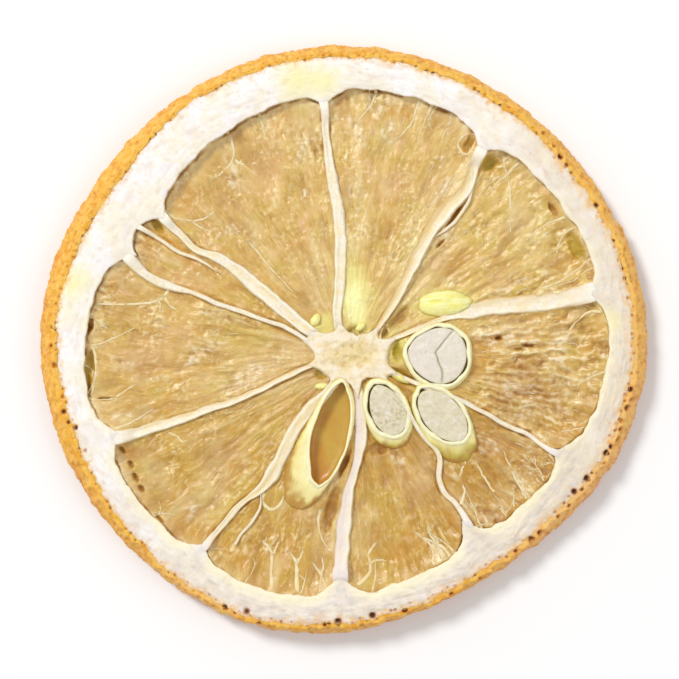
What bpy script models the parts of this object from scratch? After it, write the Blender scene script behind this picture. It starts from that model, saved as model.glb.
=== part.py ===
"""Dried lemon slice, lying flat with its better cut face up.

Metres, +Z up. The origin is under the middle of the slice, on the surface that
it lies on. +X runs to the slice's right and +Y to its top, seen from above.

The slice is one dried piece, so it is one closed solid. A turned body makes the
rind ring and the thin film of dried flesh, and is then pulled out of round. The
membranes, the core and the seeds cut through with the slice are joined to it.
"""

import math

import bmesh
import bpy
from mathutils import Matrix, Vector

MM = 0.001

# Driving dimensions, in millimetres and degrees. Angles run anticlockwise from +X.
# A wave is (crests in a turn, height, angle of one crest).
FOOT_RADIUS = 24.44
FOOT_WAVES = ((1, 0.12, 37), (2, 0.52, 19), (3, 0.30, 118), (4, 0.34, 82), (5, 0.10, 46))
TOP_RADIUS = 23.85
TOP_WAVES = ((1, 0.20, 352), (2, 0.48, 36), (3, 0.22, 6), (4, 0.34, 86), (5, 0.11, 42))
PITH_RADIUS = 20.75
PITH_WAVES = ((1, 0.60, 324), (2, 0.66, 33), (3, 0.28, 105), (4, 0.42, 90))
RIM_HEIGHT = 3.0
RIM_HEIGHT_WAVES = ((2, 0.10, 70), (3, 0.12, 20), (5, 0.07, 55))
LIFT = 0.45
LIFTED_SIDE = 20
FILM_TOP = 2.0
FILM_BOTTOM = 1.1
SAG = 0.2
EDGE_ROUNDING = 0.4
RING_STEPS = 120

# The core is where the membranes meet. It lies a little off the middle.
CORE = Vector((1.0, -1.4))
CORE_RADIUS = 2.9
CORE_HALF_HEIGHT = 1.05
FILM_MIDDLE = 1.5

# Each membrane as (its angle about the core at the pith, its angle close to the core).
MEMBRANES = (
    (15, 24), (57, 50), (96, 99), (143, 144), (156, 158),
    (198, 198), (232, 232), (268, 275), (304, 318), (335, 338),
)
MEMBRANE_HALF_WIDTH = 0.38
MEMBRANE_HALF_HEIGHT = 0.8
MEMBRANE_POINTS = 8
CUSP_DEPTH = 0.55
CUSP_HALF_WIDTH = 3.5

# Each seed as (name, middle, length, width, turn of its length from +X).
SEEDS = (
    ("seed_right", (8.0, -1.5), 6.0, 5.2, 12),
    ("seed_middle", (3.8, -5.8), 5.4, 4.1, -70),
    ("seed_low", (8.5, -6.4), 6.6, 4.6, -48),
    ("empty_husk", (-1.5, -8.3), 11.0, 4.9, 74),
)
SEED_TOP = 2.75
SEED_BOTTOM = 0.45
# The seed that fell out of its husk left a hollow: (middle, length, width, turn).
HOLLOW = ((-0.75, -7.6), 8.2, 2.9, 80)
HOLLOW_FLOOR = 1.05

# Colours of the dried pieces: (red, green, blue, roughness).
FINISHES = {
    "rind": (0.82, 0.42, 0.11, 0.55),
    "pith": (0.94, 0.87, 0.74, 0.85),
    "flesh": (0.70, 0.46, 0.17, 0.42),
    "membrane": (0.93, 0.82, 0.58, 0.60),
    "husk": (0.88, 0.78, 0.48, 0.50),
}


def wavy(mean, waves, angle):
    return mean + sum(h * math.cos(math.radians(n * (angle - at))) for n, h, at in waves)


def angle_between(a, b):
    """The turn from b to a, from -180 to 180 degrees."""
    return (a - b + 180) % 360 - 180


def lift(x, y):
    """How far the slice has curled up off the surface: two opposite sides, and most at the rim."""
    angle = math.degrees(math.atan2(y, x))
    side = max(0.0, math.cos(math.radians(2 * (angle - LIFTED_SIDE))) - 0.25) / 0.75
    return LIFT * side * (math.hypot(x, y) / FOOT_RADIUS) ** 2


def curled(mesh):
    """Lifts the mesh's points with the curl of the slice, and turns millimetres into metres."""
    for vertex in mesh.vertices:
        x, y, z = vertex.co
        vertex.co = Vector((x, y, z + lift(x, y))) * MM


def material(name):
    red, green, blue, roughness = FINISHES[name]
    made = bpy.data.materials.new(name)
    made.use_nodes = True
    made.diffuse_color = (red, green, blue, 1)
    shader = made.node_tree.nodes["Principled BSDF"]
    shader.inputs["Base Color"].default_value = (red, green, blue, 1)
    shader.inputs["Roughness"].default_value = roughness
    shader.inputs["Metallic"].default_value = 0
    return made


def turned(name, profile, steps):
    """The solid of revolution of a profile that starts and ends on the axis, as a mesh."""
    outline = bpy.data.meshes.new(name)
    edges = [(i, i + 1) for i in range(len(profile) - 1)]
    outline.from_pydata([(r, 0, z) for r, z in profile], edges, [])
    lathe = bpy.data.objects.new(name, outline)
    bpy.context.scene.collection.objects.link(lathe)
    screw = lathe.modifiers.new("turn", "SCREW")
    screw.steps = screw.render_steps = steps
    screw.use_merge_vertices = True
    screw.merge_threshold = 1e-4
    graph = bpy.context.evaluated_depsgraph_get()
    mesh = bpy.data.meshes.new_from_object(lathe.evaluated_get(graph))
    bpy.data.objects.remove(lathe)
    return mesh


def pith_edge(x, y):
    """Radius of the pith's inner edge that way from the middle: it dips in where a membrane meets it."""
    angle = math.degrees(math.atan2(y, x))
    about_core = math.degrees(math.atan2(y - CORE.y, x - CORE.x))
    dips = sum(
        math.exp(-((angle_between(about_core, at_pith) / CUSP_HALF_WIDTH) ** 2))
        for at_pith, _ in MEMBRANES
    )
    return wavy(PITH_RADIUS, PITH_WAVES, angle) - CUSP_DEPTH * dips


def out_of_round(x, y, z):
    """Where a point of the turned body goes in the uneven slice."""
    radius = math.hypot(x, y)
    if radius == 0:
        return Vector((0, 0, z - SAG))
    angle = math.degrees(math.atan2(y, x))
    at = PITH_RADIUS / radius
    round_radii = (0, PITH_RADIUS, TOP_RADIUS, FOOT_RADIUS)
    real_radii = (
        0,
        pith_edge(x * at, y * at),
        wavy(TOP_RADIUS, TOP_WAVES, angle),
        wavy(FOOT_RADIUS, FOOT_WAVES, angle),
    )
    zone = min(sum(radius > limit for limit in round_radii[1:]), 2)
    share = (radius - round_radii[zone]) / (round_radii[zone + 1] - round_radii[zone])
    real = real_radii[zone] + share * (real_radii[zone + 1] - real_radii[zone])
    if zone > 0:
        z *= wavy(RIM_HEIGHT, RIM_HEIGHT_WAVES, angle) / RIM_HEIGHT
    z -= SAG * max(0, 1 - (radius / PITH_RADIUS) ** 2)
    return Vector((x, y, 0)) * (real / radius) + Vector((0, 0, z))


def ring_and_film():
    """The rind ring with the film of flesh across it, as one turned body pulled out of round."""
    e = EDGE_ROUNDING
    profile = [
        (0, FILM_TOP),
        (PITH_RADIUS * 0.5, FILM_TOP),
        (PITH_RADIUS - 2.2 * e, FILM_TOP),
        (PITH_RADIUS - 0.6 * e, FILM_TOP + 0.3 * e),
        (PITH_RADIUS, RIM_HEIGHT - 0.7 * e),
        (PITH_RADIUS + e, RIM_HEIGHT),
        (TOP_RADIUS - e, RIM_HEIGHT),
        (TOP_RADIUS - 0.3 * e, RIM_HEIGHT - 0.3 * e),
        (TOP_RADIUS, RIM_HEIGHT - e),
        (FOOT_RADIUS, 1.2 * e),
        (FOOT_RADIUS - 0.3 * e, 0.3 * e),
        (FOOT_RADIUS - e, 0),
        (PITH_RADIUS + e, 0),
        (PITH_RADIUS, 0.7 * e),
        (PITH_RADIUS - 0.6 * e, FILM_BOTTOM - 0.3 * e),
        (PITH_RADIUS - 2.2 * e, FILM_BOTTOM),
        (PITH_RADIUS * 0.5, FILM_BOTTOM),
        (0, FILM_BOTTOM),
    ]
    mesh = turned("lemon_slice", profile, RING_STEPS)
    for name in ("rind", "pith", "flesh"):
        mesh.materials.append(material(name))
    for face in mesh.polygons:
        radius = math.hypot(face.center.x, face.center.y)
        is_rind = radius > TOP_RADIUS - e
        face.material_index = 0 if is_rind else 1 if radius > PITH_RADIUS - 0.6 * e else 2
    for vertex in mesh.vertices:
        vertex.co = out_of_round(*vertex.co)
    curled(mesh)
    return mesh


def at_core(radius, angle):
    return CORE + radius * Vector((math.cos(math.radians(angle)), math.sin(math.radians(angle))))


def membrane(name, at_pith, near_core):
    """A rib from inside the core to inside the pith, taller than it is wide."""
    start = CORE_RADIUS * 0.4
    far = at_core(PITH_RADIUS, at_pith)
    end = pith_edge(*far) + 1.2 - math.hypot(*CORE) * math.cos(
        math.radians(at_pith) - math.atan2(CORE.y, CORE.x)
    )
    curve = bpy.data.curves.new(name, "CURVE")
    curve.dimensions = "3D"
    curve.bevel_depth = MEMBRANE_HALF_WIDTH
    curve.bevel_resolution = 2
    curve.use_fill_caps = True
    line = curve.splines.new("POLY")
    line.points.add(MEMBRANE_POINTS - 1)
    for i, point in enumerate(line.points):
        share = i / (MEMBRANE_POINTS - 1)
        turn = near_core + angle_between(at_pith, near_core) * min(1, 1.6 * share)
        point.co = (*at_core(start + (end - start) * share, turn), 0, 1)
    holder = bpy.data.objects.new(name, curve)
    bpy.context.scene.collection.objects.link(holder)
    graph = bpy.context.evaluated_depsgraph_get()
    mesh = bpy.data.meshes.new_from_object(holder.evaluated_get(graph))
    bpy.data.objects.remove(holder)
    tall = MEMBRANE_HALF_HEIGHT / MEMBRANE_HALF_WIDTH
    mesh.transform(Matrix.Translation((0, 0, FILM_MIDDLE)) @ Matrix.Diagonal((1, 1, tall, 1)))
    weld(mesh)
    return mesh


def weld(mesh):
    edit = bmesh.new()
    edit.from_mesh(mesh)
    bmesh.ops.remove_doubles(edit, verts=edit.verts, dist=1e-4)
    bmesh.ops.recalc_face_normals(edit, faces=edit.faces)
    edit.to_mesh(mesh)
    edit.free()


def ellipsoid(name, middle, size, turn, around=16, rings=8):
    """An ellipsoid of the given middle and full length, width and height, turned about +Z."""
    edit = bmesh.new()
    bmesh.ops.create_uvsphere(edit, u_segments=around, v_segments=rings, radius=0.5)
    place = Matrix.Translation(middle) @ Matrix.Rotation(math.radians(turn), 4, "Z")
    bmesh.ops.transform(edit, matrix=place @ Matrix.Diagonal((*size, 1)), verts=edit.verts)
    mesh = bpy.data.meshes.new(name)
    edit.to_mesh(mesh)
    edit.free()
    return mesh


def core():
    """The dried spongy middle that every membrane runs into."""
    size = (2 * CORE_RADIUS, 1.8 * CORE_RADIUS, 2 * CORE_HALF_HEIGHT)
    return ellipsoid("core", (*CORE, FILM_MIDDLE), size, 20)


def seed(name, middle, length, width, turn):
    """A seed's husk, cut through level with the cut face."""
    height = 2 * (SEED_TOP - SEED_BOTTOM)
    mesh = ellipsoid(name, (*middle, SEED_TOP), (length, width, height), turn)
    for vertex in mesh.vertices:
        above = max(0, vertex.co.z - SEED_TOP)
        vertex.co.z = min(vertex.co.z, SEED_TOP) + 0.1 * above
    return mesh


def hollow():
    """The space that the lost seed left in its husk, open at the top."""
    middle, length, width, turn = HOLLOW
    height = 2 * (SEED_TOP + 0.4 - HOLLOW_FLOOR)
    return ellipsoid("hollow", (*middle, SEED_TOP + 0.4), (length, width, height), turn)


def add_object(mesh, collection, hidden=False):
    mesh.shade_smooth()
    mesh.set_sharp_from_angle(angle=math.radians(50))
    made = bpy.data.objects.new(mesh.name, mesh)
    collection.objects.link(made)
    if hidden:
        made.hide_render = True
        made.display_type = "WIRE"
    return made


def combine(target, other, operation):
    step = target.modifiers.new(f"{operation.lower()} {other.name}", "BOOLEAN")
    step.operation = operation
    step.object = other
    step.solver = "EXACT"
    step.material_mode = "TRANSFER"


for old in list(bpy.data.objects):
    bpy.data.objects.remove(old)
slice_parts = bpy.data.collections.new("dried lemon slice")
cutters = bpy.data.collections.new("cutters")
for collection in (slice_parts, cutters):
    bpy.context.scene.collection.children.link(collection)

lemon_slice = add_object(ring_and_film(), slice_parts)
lemon_slice.name = "lemon_slice"

rib_material = material("membrane")
husk_material = material("husk")
joined = []
for number, (at_pith, near_core) in enumerate(MEMBRANES, 1):
    joined.append((membrane(f"membrane_{number:02d}", at_pith, near_core), rib_material))
joined.append((core(), rib_material))
for name, middle, length, width, turn in SEEDS:
    joined.append((seed(name, middle, length, width, turn), husk_material))
for mesh, finish in joined:
    mesh.materials.append(finish)
    curled(mesh)
    combine(lemon_slice, add_object(mesh, cutters, hidden=True), "UNION")

empty = hollow()
empty.materials.append(husk_material)
curled(empty)
combine(lemon_slice, add_object(empty, cutters, hidden=True), "DIFFERENCE")
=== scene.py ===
import math
import bpy
import numpy as np
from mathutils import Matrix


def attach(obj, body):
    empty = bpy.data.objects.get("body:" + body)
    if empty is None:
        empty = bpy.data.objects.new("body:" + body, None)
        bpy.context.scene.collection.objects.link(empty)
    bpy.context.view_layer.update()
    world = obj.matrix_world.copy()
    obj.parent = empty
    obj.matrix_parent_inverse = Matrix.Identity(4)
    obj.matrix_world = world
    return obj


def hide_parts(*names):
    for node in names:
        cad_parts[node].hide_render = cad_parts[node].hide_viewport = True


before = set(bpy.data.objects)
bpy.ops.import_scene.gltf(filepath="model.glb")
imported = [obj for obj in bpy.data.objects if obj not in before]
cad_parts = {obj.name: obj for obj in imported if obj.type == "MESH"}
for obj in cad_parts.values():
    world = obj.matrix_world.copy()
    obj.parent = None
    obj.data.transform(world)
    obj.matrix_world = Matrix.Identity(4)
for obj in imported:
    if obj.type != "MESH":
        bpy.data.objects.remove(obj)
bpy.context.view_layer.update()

# ---------------------------------------------------------------------------------------------
# The zest is the lemon's oily outer skin, half a millimetre thick once it has dried. The knife
# left it as a narrow orange band round each cut face, with a sloping bumpy wall between them.
# Each oil gland dried to a dark pit, and most of the pits show where zest and pith meet.
# ---------------------------------------------------------------------------------------------
MM = 0.001
TURN = 2 * math.pi
# Lengths below are in millimetres and angles in degrees, anticlockwise from +X, seen from above.
# A wave is (crests in a turn, height, angle of one crest).
FOOT_RADIUS = 24.44
FOOT_WAVES = ((1, 0.12, 37), (2, 0.52, 19), (3, 0.30, 118), (4, 0.34, 82), (5, 0.10, 46))
# How wide the zest looks from above, as (angle, width): the peel slopes out most on the left.
BAND = (
    (0, 1.3), (10, 1.2), (20, 1.1), (40, 1.15), (62, 1.08), (80, 0.98), (100, 1.08), (122, 1), (142, 1.73),
    (160, 1.72), (172, 1.5), (185, 1.6), (198, 1.65), (205, 1.4), (212, 1.3), (221, 1.1), (230, 0.93),
    (250, 0.8), (270, 1), (285, 0.8), (300, 0.85), (310, 0.9), (320, 1), (330, 1.05), (340, 1.2),
    (350, 1.3),
)
CUT_BAND = 0.46
RIM_HEIGHT = 3.0
RIM_HEIGHT_WAVES = ((2, 0.10, 70), (3, 0.12, 20), (5, 0.07, 55))
LIFT = 0.45
LIFTED_SIDE = 20
LYING_SHARE = 0.25
EDGE_ROUNDING = 0.2
ZEST_STEPS = 1360
WALL_ROWS = 26
FACE_ROWS = 6
WALL_GLANDS = 900
INNER_FOOT = 1.1


def wavy(mean, waves, angle):
    """A radius or a height that waves about its mean on the way round the slice."""
    return mean + sum(height * np.cos(n * (angle - np.radians(at))) for n, height, at in waves)


def lift(x, y):
    """How far the dried slice has curled up: on two opposite sides, and most at the rim."""
    side = np.cos(2 * (np.arctan2(y, x) - math.radians(LIFTED_SIDE)))
    side = np.clip(side - LYING_SHARE, 0, 1) / (1 - LYING_SHARE)
    return LIFT * side * (x * x + y * y) / FOOT_RADIUS**2


def scatter(cell, seed):
    """A number from 0 to 1 for each whole-numbered cell, the same in every run."""
    key = np.full(cell.shape[:-1], seed * 0x9E3779B1 & 0xFFFFFFFF, np.uint32)
    for axis, factor in zip(range(cell.shape[-1]), (0x8DA6B343, 0xD8163841, 0xCB1AB31F)):
        key = key ^ (cell[..., axis].astype(np.int64) * factor & 0xFFFFFFFF).astype(np.uint32)
    for shift, factor in ((15, 0x2C1B3C6D), (12, 0x297A2D39), (15, 1)):
        key = (key ^ key >> np.uint32(shift)) * np.uint32(factor)
    return key / 4294967296.0


def grain(point, seed, around=0):
    """Smooth noise from about -1 to 1. If around is given, the first axis repeats after it."""
    low = np.floor(point)
    part = point - low
    ease = part**3 * (part * (part * 6 - 15) + 10)
    found = np.zeros(point.shape[:-1])
    for corner in np.ndindex((2,) * point.shape[-1]):
        corner = np.array(corner)
        cell = low + corner
        if around:
            cell[..., 0] %= around
        toss = scatter(cell, seed) * TURN
        away = part - corner
        slope = away[..., 0] * np.cos(toss) + away[..., 1] * np.sin(toss)
        if point.shape[-1] == 3:
            tip = scatter(cell, seed + 7) * 2 - 1
            slope = slope * np.sqrt(1 - tip**2) + away[..., 2] * tip
        found += slope * np.prod(np.where(corner, ease, 1 - ease), axis=-1)
    return found * 1.45


def rough(point, seed, octaves, around=0):
    """Several sizes of grain laid over each other, each half the size and height of the last."""
    return sum(grain(point * 2**n, seed + 31 * n, around * 2**n) / 2**n for n in range(octaves))


def fade(value, low, high):
    """0 below low, 1 above high, and a smooth rise between them."""
    share = np.clip((value - low) / (high - low), 0, 1)
    return share * share * (3 - 2 * share)


def toward(angle, at):
    """1 where an angle in radians points the same way as one in degrees, and -1 opposite to it."""
    return np.cos(angle - math.radians(at))


def by_angle(table, angle):
    """Reads a table of (angle in degrees, value) at angles in radians."""
    return np.interp(np.degrees(angle), *zip(*table), period=360)


def turned_from(angle, other):
    """The turn from one angle to another, the short way, in radians."""
    return (angle - other + math.pi) % TURN - math.pi


def pair(first, second):
    """Two arrays as the coordinates of points."""
    return np.stack(np.broadcast_arrays(first, second), -1)


def spoke(angle):
    """The point one millimetre from the middle at each angle."""
    return pair(np.cos(angle), np.sin(angle))


def full_turn(steps):
    """Angles in radians that go round once in even steps."""
    return np.arange(steps) / steps * TURN


def skin(rows, columns, ring_of_rows, ring_of_columns):
    """The faces over a grid of points, closed round in either direction or left open."""
    row = np.arange(rows if ring_of_rows else rows - 1)
    column = np.arange(columns if ring_of_columns else columns - 1)
    a, b = np.meshgrid(row, column, indexing="ij")
    next_a, next_b = (a + 1) % rows, (b + 1) % columns
    corners = (a * columns + b, next_a * columns + b, next_a * columns + next_b, a * columns + next_b)
    return np.stack(corners, -1).reshape(-1, 4)


def normals_of(grid):
    """The direction that a grid, closed round both ways, faces at each of its points."""
    normal = np.cross(*(np.roll(grid, -1, axis) - np.roll(grid, 1, axis) for axis in (0, 1)))
    return normal / np.maximum(np.linalg.norm(normal, axis=-1, keepdims=True), 1e-12)


def closed_mesh(name, points, faces, material, **fields):
    """Makes one closed mesh in its place on the curled slice, with its finish and its fields, which
    are one number for each point."""
    points = np.asarray(points, float).reshape(-1, 3).copy()
    points[:, 2] += lift(points[:, 0], points[:, 1])
    mesh = bpy.data.meshes.new(name)
    mesh.vertices.add(len(points))
    mesh.vertices.foreach_set("co", (points * MM).astype(np.float32).ravel())
    corners = np.concatenate([kind.ravel() for kind in faces]).astype(np.int32)
    sizes = np.concatenate([np.full(len(kind), kind.shape[1]) for kind in faces])
    mesh.loops.add(len(corners))
    mesh.loops.foreach_set("vertex_index", corners)
    mesh.polygons.add(len(sizes))
    mesh.polygons.foreach_set("loop_start", (np.cumsum(sizes) - sizes).astype(np.int32))
    for field, values in fields.items():
        kept = mesh.attributes.new(field, "FLOAT", "POINT")
        kept.data.foreach_set("value", np.asarray(values, np.float32).ravel())
    mesh.update(calc_edges=True)
    mesh.validate()
    mesh.shade_smooth()
    mesh.materials.append(material)
    piece = bpy.data.objects.new(name, mesh)
    bpy.context.scene.collection.objects.link(piece)
    return piece


def shade(red, green, blue):
    """A colour read off a screen, from 0 to 255, as the shader wants it."""
    screen = np.array([red, green, blue]) / 255
    light = np.where(screen <= 0.04045, screen / 12.92, ((screen + 0.055) / 1.055) ** 2.4)
    return (*light.tolist(), 1.0)


class Finish:
    """A Principled material that is coated with one colour over another. An input of any of its
    nodes may be a number, another node's output, or the name of a field of the mesh."""

    def __init__(self, name, roughness, specular=0.5, soak=0.0, soak_colour=(1, 0.5, 0.2), soak_depth=0.8):
        self.material = bpy.data.materials.new(name)
        self.material.use_nodes = True
        self.tree = self.material.node_tree
        self.shader = self.tree.nodes["Principled BSDF"]
        self.put(self.shader, {
            "Specular IOR Level": specular, "Roughness": roughness, "Subsurface Weight": soak,
            "Subsurface Radius": soak_colour, "Subsurface Scale": soak_depth * MM,
        })
        here = self.add("TexCoord", "Object", {})
        self.place = self.add("Mapping", "Vector", {"Vector": here, "Scale": (1 / MM,) * 3})
        self.paint = None

    def put(self, node, inputs):
        """Sets or links some inputs of a node."""
        for name, value in inputs.items():
            if isinstance(value, str):
                value = self.add("Attribute", "Fac", {}, attribute_name=value)
            if isinstance(value, bpy.types.NodeSocket):
                self.tree.links.new(value, node.inputs[name])
            else:
                node.inputs[name].default_value = value

    def add(self, kind, output, inputs, **settings):
        """Adds a node of a kind and gives back one of its outputs."""
        node = self.tree.nodes.new("ShaderNode" + kind)
        for name, value in settings.items():
            setattr(node, name, value)
        self.put(node, inputs)
        return node.outputs[output]

    def noise(self, size, detail=3, roughness=0.55, place=None):
        """Noise with blobs of a size in millimetres, or in each direction of another place."""
        sizes = size if isinstance(size, tuple) else (size,) * 3
        factors = {0: place or self.place, 1: [1 / s for s in sizes]}
        scaled = self.add("VectorMath", 0, factors, operation="MULTIPLY")
        inputs = {"Vector": scaled, "Scale": 1, "Detail": detail, "Roughness": roughness}
        return self.add("TexNoise", "Fac", inputs)

    def ramp(self, value, low, high, most=1.0, least=0.0):
        """Stretches the range from low to high so that it runs from least to most."""
        inputs = {"Value": value, "From Min": low, "From Max": high, "To Min": least, "To Max": most}
        return self.add("MapRange", "Result", inputs, interpolation_type="SMOOTHSTEP")

    def blotch(self, size, detail, low, high, most=1.0, least=0.0, roughness=0.55):
        """Noise stretched into blotches."""
        return self.ramp(self.noise(size, detail, roughness), low, high, most, least)

    def math(self, operation, a, b):
        """One number for each point out of two."""
        return self.add("Math", 0, {0: a, 1: b}, operation=operation)

    def mix(self, share, a, b):
        """A share of the second colour mixed into the first."""
        return self.add("Mix", "Result", {"Factor": share, "A": a, "B": b}, data_type="RGBA")

    def coat(self, colour, share=None, strength=1.0):
        """Paints a colour over what is there, all over or by a share times a strength."""
        if isinstance(colour, tuple):
            colour = shade(*colour)
        if strength != 1.0:
            share = self.math("MULTIPLY", share, strength)
        self.paint = colour if share is None else self.mix(share, self.paint, colour)
        self.put(self.shader, {"Base Color": self.paint})

    def gloss(self, roughness):
        """Makes the roughness uneven."""
        self.put(self.shader, {"Roughness": roughness})

    def bump(self, height, depth):
        """Lights it as if it were uneven by a depth in millimetres."""
        normal = self.add("Bump", "Normal", {"Height": height, "Distance": depth * MM})
        self.put(self.shader, {"Normal": normal})


def ring_radii(angle):
    """The foot of the rind wall, the cut face's outer edge, and where zest meets pith on the face."""
    spot = spoke(angle)
    foot = wavy(FOOT_RADIUS, FOOT_WAVES, angle) + 0.13 * rough(spot * 13, 3, 4) - 0.1
    band = by_angle(BAND, angle) * (1 + 0.10 * rough(spot * 6, 5, 2))
    meets = foot - band + 0.13 * rough(spot * 30, 8, 3)
    top = meets + np.clip(CUT_BAND * (1 + 0.25 * rough(spot * 18, 9, 2)), 0.4 * band, 0.8 * band)
    return foot, top, meets


def rim_top(angle):
    """The height of the cut face round the slice."""
    return wavy(RIM_HEIGHT, RIM_HEIGHT_WAVES, angle) + 0.06 * rough(spoke(angle) * 9, 12, 3)


def carried_round(stations, angle):
    """The points of a section, given as (radius, height) for each angle, carried round the slice."""
    radius = np.array([r + 0 * angle for r, _ in stations]).T
    height = np.array([z + 0 * angle for _, z in stations]).T
    return np.stack([radius * np.cos(angle)[:, None], radius * np.sin(angle)[:, None], height], -1)


def pit(grid, angle, normal, spot, across, depth, field, mark=1.0, raised=0.3):
    """Presses a round pit with a raised lip into a grid near a spot, and marks it in a field."""
    columns = np.abs(turned_from(angle, math.atan2(spot[1], spot[0]))) < across / 10
    aside = (grid[columns] - spot) * (1, 1, 0.5)
    away = np.linalg.norm(aside, axis=-1) / across * (1 + 0.35 * grain(grid[columns] * 2.6, 29))
    # Only the side of the peel that the spot lies on is pressed in.
    nearest = np.unravel_index(away.argmin(), away.shape)
    same_side = np.clip(normal[columns] @ normal[columns][nearest], 0, 1)
    hollow = np.exp(-(away**2) * 3.2) - raised * np.exp(-((away - 1.15) ** 2) * 12)
    grid[columns] -= normal[columns] * (same_side * hollow * depth)[..., None]
    field[columns] = np.maximum(field[columns], same_side * mark * np.exp(-((away / 0.8) ** 3)))


# The section runs across the cut band, over the edge, down the wall and in along the underside.
zest_turn = full_turn(ZEST_STEPS)
foot, top, meets = ring_radii(zest_turn)
high = rim_top(zest_turn)
inner_foot = foot - INNER_FOOT
rounding = np.linspace(0, math.pi / 2, 6)[1:]
section = [(meets + (top - EDGE_ROUNDING - meets) * s, high) for s in np.linspace(0, 1, FACE_ROWS)]
for a in rounding:
    section.append((top - EDGE_ROUNDING * (1 - math.sin(a)), high - EDGE_ROUNDING * (1 - math.cos(a))))
for s in np.linspace(0, 1, WALL_ROWS)[1:-1]:
    # The wall bulges, and most where it slopes out furthest.
    belly = (0.16 + 0.28 * fade(foot - top, 0.25, 0.7)) * math.sin(s * math.pi)
    level = (high - EDGE_ROUNDING) * (1 - s) + EDGE_ROUNDING * s
    section.append((top + (foot - top) * s**0.8 + belly, level))
for a in rounding:
    section.append((foot - EDGE_ROUNDING * (1 - math.cos(a)), EDGE_ROUNDING * (1 - math.sin(a))))
start = foot - EDGE_ROUNDING
section += [(start + (inner_foot - start) * s, 0) for s in (0.25, 0.5, 0.75, 1)]
section += [(inner_foot + 0.1, 0.15), (meets + 0.1, high - 0.2)]
zest = carried_round(section, zest_turn)
out = -normals_of(zest)
wall = fade((out[..., :2] * spoke(zest_turn)[:, None]).sum(-1), 0.2, 0.7)
# It dried more crinkled at the lower right than elsewhere.
crinkled = 0.5 + 0.5 * toward(zest_turn, 310)[:, None]
bumps = 0.12 * grain(zest * (0.55, 0.55, 0.35), 21) + 0.035 * grain(zest * (1.1, 1.1, 0.9), 22)
bumps += crinkled * 0.06 * rough(zest * (1.2, 1.2, 1.0), 23, 3)
pocks = 0.015 * rough(zest * 2.1, 24, 2)
zest += out * (bumps * (0.25 + 0.4 * wall) - pocks)[..., None]

gland = np.zeros(zest.shape[:2])
luck = np.random.default_rng(5)
for _ in range(WALL_GLANDS):
    column = luck.integers(ZEST_STEPS)
    row = FACE_ROWS + luck.integers(2, WALL_ROWS)
    size = luck.uniform(0.16, 0.30)
    pit(zest, zest_turn, out, zest[column, row].copy(), size, size * 0.28, gland)
# The plainest glands that the knife opened, as (x, y, size, how dark), and fainter ones between.
OPENED = (
    (-23.7, 1, 0.23, 0.55), (-23.7, -0.5, 0.24, 0.7), (-23.4, -2.1, 0.32, 0.5), (-22.7, -4.7, 0.2, 0.45),
    (-22.6, -5.9, 0.26, 0.8), (-22.2, -6.8, 0.22, 0.8), (-21.6, -7.2, 0.26, 0.85), (-20.8, -9.1, 0.2, 0.5),
    (-9.4, -21.9, 0.28, 0.8), (-8.6, -22.4, 0.2, 0.6), (-7.6, -22.3, 0.32, 0.8), (-6.6, -23.3, 0.28, 0.9),
    (-1.2, -23.4, 0.24, 0.8), (-0.1, -23.1, 0.36, 0.9), (2.7, -22.6, 0.34, 1), (3.9, -23.3, 0.22, 0.7),
    (4.2, -22.2, 0.2, 0.6), (5.4, -22.2, 0.32, 1), (9.2, -20.9, 0.24, 0.8), (11.6, -19.7, 0.22, 0.7),
    (14.5, -17.4, 0.28, 0.7), (15.8, -16.4, 0.34, 0.9), (16.5, -15.9, 0.32, 0.95), (17.3, -16.3, 0.2, 0.8),
    (18, -14.6, 0.28, 0.75), (18.9, -13.7, 0.24, 0.7), (19.3, -12.5, 0.32, 1), (19.9, -12.3, 0.24, 0.85),
    (20.3, -11.4, 0.34, 0.95), (21.8, -10.2, 0.24, 0.45), (21.9, -9.3, 0.34, 1), (22.3, -8.8, 0.28, 0.95),
    (22.9, -8.2, 0.28, 0.5), (23.1, -7.4, 0.28, 0.75), (23.2, -6.7, 0.3, 0.5), (23.6, -5.6, 0.32, 0.95),
    (24, -4.9, 0.2, 0.6), (23.9, -4.1, 0.3, 0.95), (11.1, 20.6, 0.22, 0.5), (13.9, 19.1, 0.22, 0.5),
    (16.7, 16.9, 0.24, 0.6), (17.6, 15.9, 0.24, 0.7), (18.1, 15, 0.34, 0.85), (18.6, 14.3, 0.24, 0.7),
    (21, 11, 0.28, 0.85),
)
cut_gland = np.zeros(zest.shape[:2])
cut_spots = [(np.array([x, y, RIM_HEIGHT]), size, mark) for x, y, size, mark in OPENED]
turn = 0.0
while turn < 360:
    crowd = 0.5 + 0.5 * math.cos(math.radians(turn - 300))
    turn += luck.exponential(1) + 1.2
    spot = zest[int(turn % 360 / 360 * ZEST_STEPS), 0].copy()
    spot[:2] *= 1 - (luck.uniform(-0.32, 0.1) + 0.2 * crowd) / math.hypot(*spot[:2])
    cut_spots.append((spot, luck.uniform(0.12, 0.2), 0.3 + 0.3 * crowd * luck.random()))
for spot, size, mark in cut_spots:
    upper = zest[int(math.atan2(spot[1], spot[0]) % TURN / TURN * ZEST_STEPS), :FACE_ROWS + 16]
    spot[2] = upper[np.argmin(np.hypot(*(upper[:, :2] - spot[:2]).T)), 2]
    pit(zest, zest_turn, out, spot, size, size, cut_gland, mark, 0.05)
zest[..., 2] = np.maximum(zest[..., 2], 0)
# The cut face's paler colour runs over the edge and fades down the wall.
face = fade(zest[..., 2] / RIM_HEIGHT + 0.12 * rough(zest * 0.7, 32, 2), 0.25, 0.8)
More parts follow.
